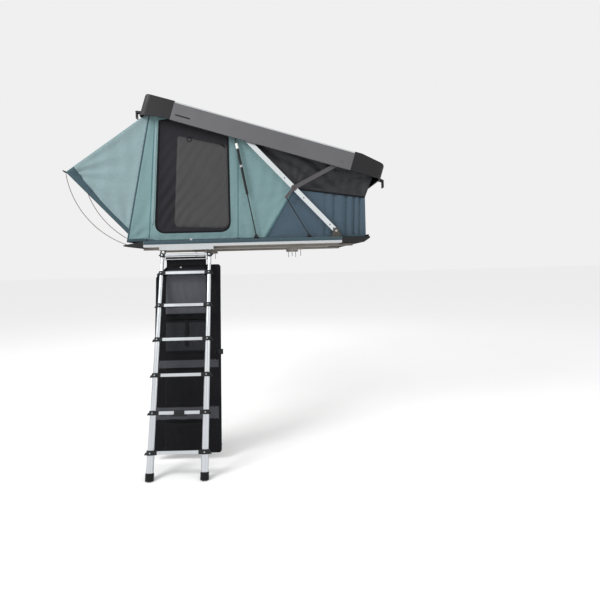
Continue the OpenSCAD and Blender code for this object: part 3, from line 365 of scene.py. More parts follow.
# %% Numbers and outlines
def limit(value):
    return min(1.0, max(0.0, value))


def steps(first, last, n):
    return [first + (last - first) * k / n for k in range(n + 1)]


def turns(n):
    return [2 * math.pi * k / n for k in range(n)]


def edges_of(loop):
    return list(zip(loop, loop[1:] + loop[:1]))


def length_of(path):
    return sum((b - a).length for a, b in zip(path, path[1:]))


def spaced(loop, step, closed=True):
    """Points along an outline or path, about a step apart."""
    points = []
    for a, b in edges_of(loop) if closed else list(zip(loop, loop[1:])):
        n = max(1, round((b - a).length / step))
        points += [a.lerp(b, i / n) for i in range(n)]
    return points if closed else points + [loop[-1]]


def open_path(*points, step=0.02):
    return spaced(list(points), step, False)


def gap(p, loop):
    """Distance from a point to an outline."""
    best = 1e9
    for a, b in edges_of(loop):
        d = b - a
        t = (p - a).dot(d) / max(d.length_squared, 1e-12)
        best = min(best, (p - a - limit(t) * d).length)
    return best


def inside(p, loop):
    hit = False
    for a, b in edges_of(loop):
        if (a.y > p.y) != (b.y > p.y) and p.x < a.x + (p.y - a.y) * (b.x - a.x) / (b.y - a.y):
            hit = not hit
    return hit


def bend(a, b, c, n):
    """Curve from a to c, drawn towards b."""
    return [(1 - t) ** 2 * a + 2 * t * (1 - t) * b + t * t * c for t in steps(0, 1, n)]


def rounded(loop, radii, n=6):
    """An outline with each corner rounded by its own radius."""
    points = []
    for i, (b, r) in enumerate(zip(loop, radii)):
        u = (loop[i - 1] - b).normalized()
        w = (loop[(i + 1) % len(loop)] - b).normalized()
        half = math.acos(max(-1.0, min(1.0, u.dot(w)))) / 2
        points += bend(b + u * r / math.tan(half), b, b + w * r / math.tan(half), n)
    return points


def box_loop(x0, x1, z0, z1):
    return [vec2(x0, z0), vec2(x1, z0), vec2(x1, z1), vec2(x0, z1)]


def round_box(x0, x1, z0, z1, r):
    return rounded(box_loop(x0, x1, z0, z1), [r] * 4, 4)


def area_of(loop):
    return abs(sum(a.x * b.y - b.x * a.y for a, b in edges_of(loop))) / 2


def extent(loop):
    xs, ys = [p.x for p in loop], [p.y for p in loop]
    return max(xs) - min(xs), max(ys) - min(ys)


ROW_RISE, EDGE_ROOM, LEAST_FACE = 0.87, 0.45, 0.02


def fill(outline, step, holes=()):
    """Triangles that fill an outline round its holes, from points on a staggered grid."""
    loops = [outline, *holes]
    points, edges = [], []
    for loop in loops:
        ring = spaced(loop, step)
        first = len(points)
        edges += [(first + i, first + (i + 1) % len(ring)) for i in range(len(ring))]
        points += ring
    low = vec2(min(p.x for p in outline), min(p.y for p in outline))
    wide, tall = extent(outline)

    def in_cloth(p):
        return inside(p, outline) and not any(inside(p, h) for h in holes)

    for j in range(int(tall / (ROW_RISE * step)) + 1):
        for i in range(int(wide / step) + 1):
            p = low + step * vec2(i + 0.5 * (j % 2), ROW_RISE * j)
            if in_cloth(p) and min(gap(p, loop) for loop in loops) > EDGE_ROOM * step:
                points.append(p)
    found = delaunay_2d_cdt(points, edges, [], 0, 1e-6)
    flat, faces = found[0], found[2]

    def sound(face):
        a, b, c = (flat[i] for i in face)
        return abs((b - a).cross(c - a)) > LEAST_FACE * step * step and in_cloth((a + b + c) / 3)

    return flat, [face for face in faces if sound(face)]


# %% Meshes
def link_mesh(name, verts, faces, material, smooth=True):
    mesh = bpy.data.meshes.new(name)
    mesh.from_pydata([tuple(v) for v in verts], [], faces)
    mesh.materials.append(material)
    if smooth:
        mesh.shade_smooth()
    obj = bpy.data.objects.new(name, mesh)
    bpy.context.scene.collection.objects.link(obj)
    return obj


def rework(obj, *changes):
    """Edits a mesh in place; each change gets it as a bmesh."""
    work = bmesh.new()
    work.from_mesh(obj.data)
    for change in changes:
        change(work)
    work.to_mesh(obj.data)
    work.free()
    return obj


def face_outwards(work):
    bmesh.ops.recalc_face_normals(work, faces=work.faces)


def crease(obj, degrees=35):
    """Smooth shading with crisp edges, kept in the mesh."""
    obj.data.set_sharp_from_angle(angle=math.radians(degrees))
    return obj


def grid_faces(rows, columns):
    """Quads between rows of points; a row has one point more than it has columns."""
    n = columns + 1
    return [(j * n + i, j * n + i + 1, (j + 1) * n + i + 1, (j + 1) * n + i)
            for j in range(rows) for i in range(columns)]


def loft(name, rings, material, closed=False):
    """Skin over rings of points that all have the same count, with end caps unless the rings close."""
    n, rows = len(rings[0]), len(rings)
    faces = []
    for i in range(rows if closed else rows - 1):
        for k in range(n):
            a, b = i * n, ((i + 1) % rows) * n
            faces.append((a + k, a + (k + 1) % n, b + (k + 1) % n, b + k))
    if not closed:
        faces += [tuple(range(n)), tuple(range((rows - 1) * n, rows * n))]
    return rework(link_mesh(name, [p for ring in rings for p in ring], faces, material), face_outwards)


def tube(name, path, radius, material, sides=10):
    """Round rod or cord along a path in space."""
    rings = []
    for i, p in enumerate(path):
        ahead = (path[min(i + 1, len(path) - 1)] - path[max(i - 1, 0)]).normalized()
        up = Vector((0, 1, 0)) if abs(ahead.y) < 0.9 else Vector((1, 0, 0))
        u = ahead.cross(up).normalized()
        w = ahead.cross(u)
        rings.append([p + radius * (math.cos(a) * u + math.sin(a) * w) for a in turns(sides)])
    return loft(name, rings, material)


TAPE = [(-0.5, 0.0), (-0.5, 0.5), (-0.3, 1.0), (0.3, 1.0), (0.5, 0.5), (0.5, 0.0)]


def strip(name, path, width, height, place, material, closed=False):
    """Tape sewn along a path on a cloth; place gives the point at a height over the cloth."""
    rings = []
    for i, p in enumerate(path):
        before = path[i - 1] if closed or i else p
        after = path[(i + 1) % len(path)] if closed or i + 1 < len(path) else p
        ahead = (after - before).normalized()
        left = vec2(-ahead.y, ahead.x)
        rings.append([place(p + a * width * left, b * height) for a, b in TAPE])
    return loft(name, rings, material, closed)


def spokes(axis, sides):
    """An axis of length one, and directions all round it."""
    axis = Vector(axis).normalized()
    u = axis.orthogonal().normalized()
    w = axis.cross(u)
    return axis, [math.cos(a) * u + math.sin(a) * w for a in turns(sides)]


def lathe(name, profile, origin, axis, material, sides=24):
    """Turned piece: (radius, height) pairs about an axis."""
    axis, around = spokes(axis, sides)
    rings = [[Vector(origin) + h * axis + r * out for out in around] for r, h in profile]
    return crease(loft(name, rings, material))


def sleeve(name, r_in, r_out, length, origin, axis, material, sides=24):
    """Ring that sits round a rod, open at both ends."""
    axis, around = spokes(axis, sides)
    chamfer = (r_out - r_in) / 2
    profile = [(r_in, 0.0), (r_out - chamfer, 0.0), (r_out, chamfer), (r_out, length - chamfer),
               (r_out - chamfer, length), (r_in, length)]
    rings = [[Vector(origin) + r * out + h * axis for r, h in profile] for out in around]
    return crease(loft(name, rings, material, True))


RIM_ANGLE = 0.6


def slab(name, outline, place, depth, material, bevel=0.0015):
    """Plate with bevelled edges: an outline, given depth by place."""
    n = len(outline)
    verts = [place(p, d) for d in (0.0, depth) for p in outline]
    faces = [tuple(range(n - 1, -1, -1)), tuple(range(n, 2 * n))]
    faces += [(i, (i + 1) % n, n + (i + 1) % n, n + i) for i in range(n)]

    def bevel_rim(work):
        rim = [e for e in work.edges if e.calc_face_angle(0) > RIM_ANGLE]
        bmesh.ops.bevel(work, geom=rim, offset=bevel, segments=2, affect="EDGES", profile=0.6)

    obj = rework(link_mesh(name, verts, faces, material), face_outwards, bevel_rim)
    obj.data.shade_smooth()
    return crease(obj)


# %% Folds
def ripple(x, y, seed):
    """Smooth noise from -1 to 1, the same at every build."""
    return noise.noise(Vector((x, y, seed)))


def hump(angle):
    """From 0 up to 1 and back to 0 in a full turn."""
    return 0.5 - 0.5 * math.cos(angle)


def waves(p, degrees, pitch, seed):
    """Soft folds from 0 to 1 that run in a direction, a pitch apart, and wander a little."""
    a = math.radians(degrees)
    across = p.y * math.cos(a) - p.x * math.sin(a)
    wander = ripple(2.2 * p.x, 2.2 * p.y, seed)
    strength = 0.55 + 0.45 * ripple(3.1 * p.x, 3.1 * p.y, seed + 7.3)
    return max(0.0, strength) * hump(2 * math.pi * (across / pitch + 0.8 * wander))


RAY_START = 0.12


def rays(p, corner, count, reach, seed):
    """Tension folds from 0 to 1 that fan out of a corner and die away."""
    d = p - corner
    angle = math.atan2(d.y, d.x) + 0.05 * ripple(4 * p.x, 4 * p.y, seed)
    return math.exp(-d.length / reach) * min(1.0, d.length / RAY_START) * hump(count * angle + seed)


def fans(p, table):
    """Tension folds from several corners; a row has the depth, then corner, count, reach and seed."""
    return sum(depth * rays(p, *fan) for depth, *fan in table)


def eased(p, loops, reach):
    """0 at a seam, rising to 1 within a reach of it."""
    t = min(1.0, min(gap(p, loop) for loop in loops) / reach)
    return t * t * (3 - 2 * t)


# %% Placing and sewing cloth
CLOTH_T, NET_T = 0.0016, 0.001
# A flat size is narrowed where the cut fills less than this share of its rectangle
LEAST_SHARE = 0.305
# Level of the front cap's lip and a draw-back distance, given for the upper front cloth
OVER_LIP, DRAW_BACK = 0.1145, 0.085


def on_side(side, lift):
    """Places (x, z) on a side wall: folds go inwards, tape sits outwards."""
    def place(p, out=0.0):
        return at_y(p, side * (WALL_Y - CLOTH_T / 2 - lift(p) + out))
    return place


def on_end(foot, ahead, inward, lift):
    """Places (y, distance up the wall) on an end wall."""
    def place(p, out=0.0):
        return at_y(foot + p.y * ahead + (CLOTH_T / 2 + lift(p) - out) * inward, p.x)
    return place


def as_is(p):
    return p


def sew(name, cut, place, material, thick=CLOTH_T):
    """Cloth from a filled cut, a list of flat points and a list of faces."""
    obj = link_mesh(name, [place(p) for p in cut[0]], cut[1], material)
    body = obj.modifiers.new("cloth", "SOLIDIFY")
    body.thickness = thick
    body.offset = 0
    return obj


def ride_all(body, *objs):
    for obj in objs:
        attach(obj, body)


def stand_for(obj, body, node=None):
    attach(obj, body)
    if node:
        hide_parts(node)
    return obj


def declare(outline, holes=()):
    """Works out a cut's flat size and area, and keeps neither."""
    wide, tall = extent(outline)
    area = area_of(outline) - sum(area_of(h) for h in holes)
    wide = min(wide, area / (LEAST_SHARE * tall))


def fold_down(*objs, level=RAIL_TOP + 0.0004, draw=0.0):
    """Gives each piece a mesh of its own; it does not pack cloth down, and level and draw are not used."""
    for obj in objs:
        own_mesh(obj)


# %% [markdown]
# ## The side walls
# Each side is three cuts: a teal rear panel with the door, a slate panel that is pleated towards the front,
# and a black panel above the arm. Tape covers the seams. The cuts meet on the lines of the linkage. The
# walls' folds go inwards, which keeps the gas struts clear.

# %% Cuts of the side walls
HEM_FOOT, HEM_TOP, HEM_CORNER = 0.0708, 0.11, 0.126
rear_cut = [rear_foot, vec2(WELL_REAR, CAP_FOOT), vec2(WELL_REAR, WELL_FOOT), seam_foot, seam_mid, seam_top,
            rear_top]
pleat_cut = [seam_foot, vec2(WELL_FRONT, WELL_FOOT), vec2(WELL_FRONT, CAP_FOOT), vec2(KNEE_X, CAP_FOOT),
             knee, seam_mid]
upper_cut = [seam_mid, knee, front_top, seam_top]
hem_cut = [rear_foot, vec2(WELL_REAR, CAP_FOOT), vec2(WELL_REAR, HEM_FOOT), vec2(WELL_FRONT, HEM_FOOT),
           vec2(WELL_FRONT, CAP_FOOT), vec2(KNEE_X, CAP_FOOT), vec2(KNEE_X, HEM_TOP), vec2(-0.80, HEM_TOP),
           vec2(-0.90, HEM_CORNER), rear_at(HEM_CORNER)]
rail_cut = box_loop(-0.904, 0.834, 0.0665, 0.0945)


def door_loop(inset):
    """The door: round at the sill, square at the top, where it runs up behind the lid's rail."""
    x0, x1, z = -0.814 + inset, -0.147 - inset, 0.173 + inset
    head = [under_lid(x1, 0.038 - inset), under_lid(x0 + 0.214, 0.038 - inset),
            under_lid(x0 + 0.059, -0.021 - inset)]
    low, high = 0.09 - inset, 0.014 - inset / 2
    return rounded([vec2(x0, z), vec2(x1, z), *head], [low, low, high, high, high])


door_edge, door_hole, screen_cut = door_loop(0), door_loop(0.004), door_loop(0.0005)
window_cut = rounded([vec2(-0.643, 0.225), vec2(-0.16, 0.205), vec2(-0.16, 0.927), vec2(-0.594, 1.031)],
                     [0.05, 0.06, 0.02, 0.02])
rear_flat, screen_flat = fill(rear_cut, 0.018, [door_hole]), fill(screen_cut, 0.018)
pleat_flat, upper_flat = fill(pleat_cut, 0.0075), fill(upper_cut, 0.016)
window_flat, hem_flat, rail_flat = fill(window_cut, 0.02), fill(hem_cut, 0.014), fill(rail_cut, 0.012)
print("rear panel points", len(rear_flat[0]), "pleated", len(pleat_flat[0]), "upper", len(upper_flat[0]))

# %% Folds of the side walls
REAR_FANS = [(0.012, seam_foot, 11, 0.28, 1.0), (0.012, seam_top, 13, 0.25, 2.0),
             (0.012, rear_foot, 12, 0.3, 3.0), (0.010, rear_top, 14, 0.3, 4.0),
             (0.012, seam_mid, 12, 0.3, 5.0)]
UPPER_FANS = [(0.009, front_top, 16, 0.3, 1.5), (0.012, seam_mid, 14, 0.3, 6.0)]
# Valleys of the pleats: place behind the front edge, and depth
PLEATS = [(-0.43, 0.0), (-0.35, 0.009), (-0.274, 0.019), (-0.163, 0.024), (-0.095, 0.023), (-0.044, 0.018),
          (0.0, 0.010)]


def rear_lift(p):
    """Taut cloth: a slight hollow, and fans from the panel's corners."""
    seams = [rear_cut, door_hole]
    folds = fans(p, REAR_FANS) + 0.006 * waves(p, 80, 0.11, 5.0)
    return 0.010 * eased(p, seams, 0.14) + folds * eased(p, seams, 0.05)


def pleat_lift(p):
    """Flat behind, then round pleats that crowd towards the front."""
    base = 0.006 * eased(p, [pleat_cut], 0.1) + 0.008 * rays(p, seam_foot, 9, 0.25, 2.5)
    x = p.x - knee.x + 0.014 * ripple(1.5, 3.5 * p.y, 2.0)
    back = 0.0
    for (x0, deep0), (x1, deep1) in zip(PLEATS, PLEATS[1:]):
        if x0 <= x < x1:
            u = (x - x0) / (x1 - x0)
            back = (deep0 + (deep1 - deep0) * u) * (1 - math.sin(math.pi * u) ** 0.75)
    rise = limit(min((knee.x - 0.004 - p.x) / 0.02, (p.y - FLOOR) / 0.03))
    return 0.004 * min(1.0, rise + 0.2) + base * eased(p, [pleat_cut], 0.04) + back * rise


def upper_lift(p):
    """Loose cloth that sags between the lid and the arm, with upright folds at its front."""
    front = limit((p.x - 0.72) / 0.14)
    folds = 0.022 * (1 - front) * waves(p, -38, 0.10, 3.0) + 0.018 * front * waves(p, 82, 0.085, 1.5)
    folds += fans(p, UPPER_FANS)
    return 0.016 * eased(p, [upper_cut], 0.12) + folds * eased(p, [upper_cut], 0.05)


def screen_lift(p):
    """Hanging net with slack folds, deepest at its lower rear corner."""
    slack = limit((-0.42 - p.x) / 0.25) * limit((1.0 - p.y) / 0.5)
    folds = (0.0025 + 0.016 * slack) * waves(p, 56, 0.085, 9.0)
    return 0.002 + (0.006 + folds) * eased(p, [screen_cut], 0.05)


def window_lift(p):
    return screen_lift(p) - 0.0028


def hem_lift(p):
    return -0.0018 - 0.0012 * waves(p, 90, 0.16, 4.0)


def rail_lift(p):
    """The strip lies on the base rail's outer face, which is as far out as the lid's."""
    return WALL_Y - CLOTH_T / 2 - LID_HALF - 0.001 - 0.0003 * waves(p, 90, 0.2, 6.0)


def flush(p):
    return 0.0


# %% Sew the side walls
rear_seam = open_path(vec2(-0.797, 1.18), vec2(-0.872, 0.13))
front_seam = open_path(vec2(-0.079, 0.13), vec2(-0.06, 0.97))
flap_highlight_edge = open_path(vec2(-0.836, 0.25), vec2(-0.783, 1.13))
arm_seam, knee_seam = open_path(seam_foot, seam_mid, seam_top), open_path(seam_mid, knee)
window_strap = open_path(vec2(-0.215, 0.952), vec2(-0.174, 0.918), step=0.01)
window_eye = [vec2(-0.493, 1.0) + 0.02 * heading(a) for a in turns(28)]
BINDING_W = 0.014
binding_l = length_of(door_edge + door_edge[:1])

for side, tag in SIDES:
    def panel_on_side(kind, flat, lift, material, node=None, thick=CLOTH_T):
        made = sew(f"{kind}_{tag}", flat, on_side(side, lift), material, thick)
        return stand_for(made, "base", node)

    def tape_on_side(kind, path, width, height, material, lift=flush, closed=False):
        made = strip(f"{kind}_{tag}", path, width, height, on_side(side, lift), material, closed)
        return stand_for(made, "base")

    rear = panel_on_side("side_panel", rear_flat, rear_lift, teal_canvas, "rear_side_walls")
    pleat = panel_on_side("pleated_panel", pleat_flat, pleat_lift, slate_canvas, "front_side_walls")
    upper = panel_on_side("upper_panel", upper_flat, upper_lift, black_canvas, "upper_side_walls")
    screen = panel_on_side("door_net", screen_flat, screen_lift, screen_net, "door_screens",
                           NET_T)
    window = panel_on_side("door_window", window_flat, window_lift, window_net, thick=NET_T)
    hem = panel_on_side("hem", hem_flat, hem_lift, hem_canvas, "hem_bands")
    rail_strip = panel_on_side("rail_strip", rail_flat, rail_lift, hem_canvas, "hem_bands",
                               0.0014)
    binding = strip("door_binding_" + tag, spaced(door_edge, 0.02), BINDING_W, 0.003, on_side(side, flush),
                    tape, True)
    stand_for(binding, "base", "door_bindings")

    tapes = [
        tape_on_side("seam_rear_edge", open_path(rear_foot, rear_top, step=0.03), 0.013, 0.002, hem_canvas),
        tape_on_side("seam_rear_panel", rear_seam, 0.011, 0.0016, seam_tape, rear_lift),
        tape_on_side("seam_front_panel", front_seam, 0.010, 0.0016, seam_tape, rear_lift),
        # The flap's rolled edge is real; its lighter awning canvas is a painted highlight along it.
        tape_on_side("door_flap_edge", flap_highlight_edge, 0.018, 0.005, awning_canvas, rear_lift),
        tape_on_side("seam_arm", arm_seam, 0.014, 0.0018, seam_tape),
    ]
    upper_tape = tape_on_side("seam_knee", knee_seam, 0.014, 0.0018, tape)
    window_trims = [
        tape_on_side("window_edge", spaced(window_cut, 0.02), 0.006, 0.0012, window_net, window_lift, True),
        tape_on_side("window_ring", window_eye, 0.007, 0.003, tape, window_lift, True),
        tape_on_side("window_strap", window_strap, 0.012, 0.003, tape, window_lift),
    ]

    declare(rear_cut, [door_hole])
    declare(pleat_cut, ())
    declare(upper_cut)
    declare(screen_cut)
    declare(window_cut, ())
    declare(hem_cut)
    declare(rail_cut)
    fold_down(rear, pleat, screen, window, hem, binding, upper_tape, *window_trims, *tapes)
    fold_down(upper, level=OVER_LIP, draw=DRAW_BACK)
print("binding length", round(binding_l, 3))

# %% [markdown]
# ## The end walls
# The front wall follows the knee that the cloth makes as the lid opens. The rear wall holds the doorway,
# whose flap is rolled up over the opening and tied. The roll is a real spiral of cloth.

# %% Front wall
END_HALF = 0.6065
knee_l = knee.y - CAP_FOOT
lean_l = (front_top - knee).length
lean_dir = (front_top - knee) / lean_l
low_cut = box_loop(-END_HALF, END_HALF, 0.0, knee_l)
high_cut = box_loop(-END_HALF, END_HALF, 0.0, lean_l)
near_foot, far_foot = low_cut[:2]
LOW_FANS = [(0.012, near_foot, 15, 0.2, 1.0), (0.012, far_foot, 15, 0.2, 2.0)]


def low_lift(p):
    return (0.008 + 0.010 * waves(p, 88, 0.12, 8.0) + fans(p, LOW_FANS)) * eased(p, [low_cut], 0.06)


def high_lift(p):
    return (0.014 + 0.014 * waves(p, 72, 0.15, 2.0)) * eased(p, [high_cut], 0.08)


low_place = on_end(vec2(KNEE_X, CAP_FOOT), vec2(0, 1), vec2(-1, 0), low_lift)
high_place = on_end(knee, lean_dir, vec2(-lean_dir.y, lean_dir.x), high_lift)
front_low = stand_for(sew("front_wall_lower", fill(low_cut, 0.02), low_place, slate_canvas), "base",
                      "front_wall")
front_high = stand_for(sew("front_wall_upper", fill(high_cut, 0.02), high_place, black_canvas), "base",
                       "front_wall")
knee_line = [vec2(y, knee_l - 0.004) for y in (-END_HALF, END_HALF)]
knee_tape = strip("front_wall_seam", open_path(*knee_line, step=0.03), 0.016, 0.002, low_place, tape)
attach(knee_tape, "base")
declare(low_cut, ())
declare(high_cut)
fold_down(front_low, knee_tape)
fold_down(front_high, level=OVER_LIP, draw=DRAW_BACK)
print("front wall, lower and upper height", round(knee_l, 3), round(lean_l, 3))

# %% Rear wall
rear_dir = vec2(math.sin(LEAN), math.cos(LEAN))
rear_in = vec2(rear_dir.y, -rear_dir.x)
end_cut = box_loop(-END_HALF, END_HALF, 0.0, (rear_top - rear_foot).length)
DOOR_HALF, DOOR_LOW, DOOR_HIGH = 0.4, 0.097, 1.0
doorway = round_box(-DOOR_HALF, DOOR_HALF, DOOR_LOW, DOOR_HIGH, 0.07)
END_FANS = [(0.010, near_foot, 14, 0.25, 3.0), (0.010, far_foot, 14, 0.25, 4.0)]


def end_lift(p):
    folds = 0.006 * waves(p, 86, 0.14, 6.0) + fans(p, END_FANS)
    return (0.006 + folds) * eased(p, [end_cut, doorway], 0.06)


end_place = on_end(rear_foot, rear_dir, rear_in, end_lift)
end_wall = stand_for(sew("rear_wall_cloth", fill(end_cut, 0.022, [doorway]), end_place, teal_canvas), "base",
                     "rear_wall")
doorway_tape = strip("rear_doorway_binding", spaced(doorway, 0.025), 0.026, 0.003, end_place, tape, True)
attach(doorway_tape, "base")

# %% Rolled flap over the doorway
roll_at = rear_foot + (DOOR_HIGH + 0.045) * rear_dir - 0.042 * rear_in
ROLL_TURNS, ROLL_STEPS, ROLL_ROWS = 2.6, 64, 36
ROLL_HALF, TIE_Y = 0.39, 0.22
tie_ring = [roll_at - vec2(0, 0.007) + 0.033 * heading(a) for a in steps(0, 2 * math.pi, 24)]


def roll_row(y):
    """A spiral of cloth, drawn in at the ties and sagging between the ends of the roll."""
    tied = 1 - 0.16 * sum(math.exp(-((y - t) / 0.025) ** 2) for t in (-TIE_Y, TIE_Y))
    sag = 0.010 * (1 - (y / ROLL_HALF) ** 2)
    row = []
    for i in range(ROLL_STEPS + 1):
        turn = 2 * math.pi * ROLL_TURNS * i / ROLL_STEPS
        r = (0.012 + 0.024 * i / ROLL_STEPS) * tied + 0.0015 * ripple(9 * y, turn, 1.0)
        q = roll_at + r * heading(turn)
        row.append(Vector((q.x, y, q.y - sag)))
    return row


roll_rows = [roll_row(ROLL_HALF * (2 * j / ROLL_ROWS - 1)) for j in range(ROLL_ROWS + 1)]
roll_len = length_of(roll_rows[0])
roll_cut = ([p for row in roll_rows for p in row], grid_faces(ROLL_ROWS, ROLL_STEPS))
roll = sew("rear_flap_roll", roll_cut, as_is, teal_canvas)
ties = [tube("rear_flap_tie_" + tag, [at_y(q, side * TIE_Y) for q in tie_ring], 0.004, tape, 8)
        for side, tag in SIDES]
ride_all("base", roll, *ties)
declare(end_cut, [doorway])
fold_down(end_wall, doorway_tape, roll, *ties)
print("flap rolled from", round(roll_len, 3), "m of cloth")

# %% [markdown]
# ## The awning
# A top sheet hangs from the lid's rear bar, two side gussets close the gap to the rear wall, and bowed
# spring-steel rods keep it open. The top sags a little between its edges.

# %% Top of the awning
awning_under = heading(math.radians(AWNING_SLOPE - 90))
awning_cut = box_loop(-WALL_Y, WALL_Y, AWNING_START, AWNING_L)
TOP_FANS = [(0.010, vec2(x, AWNING_L), 13, 0.3, 2.0 + x) for x in (-WALL_Y, WALL_Y)]


def awning_lift(p):
    t = (p.y - AWNING_START) / (AWNING_L - AWNING_START)
    sag = 0.014 * (1 - (p.x / WALL_Y) ** 2) * math.sin(math.pi * t)
    return sag + (fans(p, TOP_FANS) + 0.005 * waves(p, 84, 0.17, 3.0)) * eased(p, [awning_cut], 0.06)


def awning_place(p):
    return at_y(polar(awning_pin, p.y, awning_dir) + awning_lift(p) * awning_under, p.x)


def fold_awning(*objs, lift=0.0):
    for obj in objs:
        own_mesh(obj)


awning_top = stand_for(sew("awning_top", fill(awning_cut, 0.025), awning_place, awning_canvas, 0.002),
                       "awning", "awning_panel")
tip_line = [at_y(awning_tip, y) for y in steps(-0.613, 0.613, 20)]
awning_edges = [tube("awning_tip_hem", tip_line, 0.007, seam_tape, 12)]
for side, tag in SIDES:
    edge = [awning_place(vec2(side * 0.6075, t)) for t in steps(AWNING_START, AWNING_L, 30)]
    awning_edges.append(tube("awning_piping_" + tag, edge, 0.0045, awning_canvas, 10))
ride_all("awning", *awning_edges)
declare(awning_cut, ())
fold_awning(awning_top, *awning_edges)

# %% Gussets and rods of the awning
tip_low = awning_tip + 0.0018 * awning_under
top_start = polar(awning_pin, AWNING_START, awning_dir) + 0.0018 * awning_under
gusset_head = rear_at(1.216, GUSSET_CLEAR)
gusset_outline = [awning_foot, gusset_head, top_start, tip_low]
band_top = polar(tip_low, 0.085, awning_dir - 180)
band_end = rear_at(0.21, GUSSET_CLEAR)
band_curve = bend(band_end, (band_top + band_end) / 2 + vec2(-0.028, -0.03), band_top, 14)
band_cut = [tip_low, awning_foot] + band_curve
gusset_cut = [gusset_head, top_start] + band_curve[::-1]
gusset_flat, band_flat = fill(gusset_cut, 0.018), fill(band_cut, 0.018)
GUSSET_FANS = [(0.026, tip_low, 17, 0.4, 1.0), (0.018, awning_foot, 15, 0.35, 3.0)]
PIN_KNOB = [(0.001, 0.0), (0.007, 0.001), (0.008, 0.006), (0.006, 0.016), (0.003, 0.03), (0.001, 0.031)]
ROD_R, ROD_FOOT_X = 0.0035, -1.068


def gusset_lift(p):
    folds = fans(p, GUSSET_FANS) + 0.009 * waves(p, 82, 0.15, 8.0)
    return 0.008 * eased(p, [gusset_outline], 0.15) + folds * eased(p, [gusset_outline], 0.06)


def bowed(p, q, bow, n=28):
    """Points on an arc between two points, bulging to the right of the way."""
    span = (q - p).length
    big = (span * span / 4 + bow * bow) / (2 * bow)
    out = math.atan2(q.y - p.y, q.x - p.x) - math.pi / 2
    mid = (p + q) / 2 + (bow - big) * heading(out)
    sweep = math.asin(span / (2 * big))
    return [mid + big * heading(a) for a in steps(out - sweep, out + sweep, n)]


def cap_top(x):
    """Height of the rear cap, which slopes down towards its lip."""
    return RAIL_TOP - 0.028 * (WELL_REAR - x) / 0.175


rod_inner = awning_tip + 0.36 * (awning_foot - awning_tip)
rod_paths = {"main": bowed(awning_tip, vec2(ROD_FOOT_X, cap_top(ROD_FOOT_X) + 0.0041), 0.118),
             "inner": bowed(rod_inner, vec2(ROD_FOOT_X, RAIL_TOP + 0.036), 0.044)}
for side, tag in SIDES:
    place = on_side(side, gusset_lift)
    gusset = stand_for(sew("awning_gusset_" + tag, gusset_flat, place, awning_canvas), "awning",
                       "awning_gussets")
    band = stand_for(sew("awning_gusset_hem_" + tag, band_flat, place, hem_canvas), "awning",
                     "awning_gussets")
    rods = []
    for kind, path in rod_paths.items():
        bow = [at_y(q, side * (WALL_Y + 0.0038)) for q in path]
        rod = tube(f"awning_rod_{kind}_{tag}", bow, ROD_R, spring_steel, 10)
        rods.append(stand_for(rod, "awning", "awning_rods"))
    knob = lathe("awning_pin_" + tag, PIN_KNOB, at_y(awning_tip, side * WALL_Y), (-0.8, 0.35 * side, 0.45),
                 plastic, 16)
    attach(knob, "awning")
    declare(gusset_cut)
    declare(band_cut)
    fold_awning(gusset, band, knob, *rods, lift=0.01)
print("awning rods", {kind: round(length_of(path), 3) for kind, path in rod_paths.items()})

# %% [markdown]
# ## Bedding and lining
# The mattress is a soft closed block with rounded edges and sewn channels. The headliner is one quilted
# sheet under the roof panel, puffed between its stitches.

# %% Mattress
BED_X, BED_Y, BED_LOW, BED_HIGH = (-0.893, 0.823), (-0.585, 0.585), 0.0705, 0.1195
BED_ROWS, BED_COLUMNS = 96, 60
BED_EDGE, CHANNEL_PITCH = 0.022, 0.286
bed_mid, bed_half = (BED_LOW + BED_HIGH) / 2, (BED_HIGH - BED_LOW) / 2


def bed_height(x, y):
    """Share of the full height at a point, and the dip of the sewn channels there."""
    edge = min(x - BED_X[0], BED_X[1] - x, y - BED_Y[0], BED_Y[1] - y)
    swell = math.sqrt(max(0.0, 1 - (1 - min(1.0, edge / BED_EDGE)) ** 2))
    channel = min(abs((x - BED_X[0]) / CHANNEL_PITCH % 1 - 0.5), 0.5) * 2
    stitch = 0.006 * max(0.0, 1 - (1 - channel) / 0.12) ** 1.5
    return swell, (stitch - 0.0012 * ripple(5 * x, 5 * y, 2.0)) * min(1.0, edge / 0.05)


def crowded(ends, k, n):
    """The k-th of n steps between two ends, with the steps close together at the ends."""
    return ends[0] + (ends[1] - ends[0]) * hump(math.pi * k / n)


bed_top, bed_under = [], []
for i in range(BED_ROWS + 1):
    for j in range(BED_COLUMNS + 1):
        x, y = crowded(BED_X, i, BED_ROWS), crowded(BED_Y, j, BED_COLUMNS)
        swell, dip = bed_height(x, y)
        bed_top.append(Vector((x, y, bed_mid + (bed_half * swell - dip))))
        bed_under.append(Vector((x, y, bed_mid - bed_half * swell)))
top_faces = [(a, d, c, b) for a, b, c, d in grid_faces(BED_ROWS, BED_COLUMNS)]
under_faces = [tuple(len(bed_top) + i for i in face[::-1]) for face in top_faces]
bed = link_mesh("mattress_cover", bed_top + bed_under, top_faces + under_faces, cover)
rework(bed, lambda work: bmesh.ops.remove_doubles(work, verts=work.verts, dist=0.0002))
stand_for(bed, "base", "mattress")
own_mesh(bed)
for y, (_, tag) in zip(BED_Y, SIDES):
    edge = [Vector((x, y, bed_mid)) for x in steps(*BED_X, 40)]
    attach(tube("mattress_piping_" + tag, edge, 0.004, tape, 8), "base")
print("mattress points", len(bed.data.vertices))

# %% Headliner
liner_cut = box_loop(0.302, 1.901, -0.638, 0.638)
LINER_H, QUILT_PITCH = 0.1468, 0.17


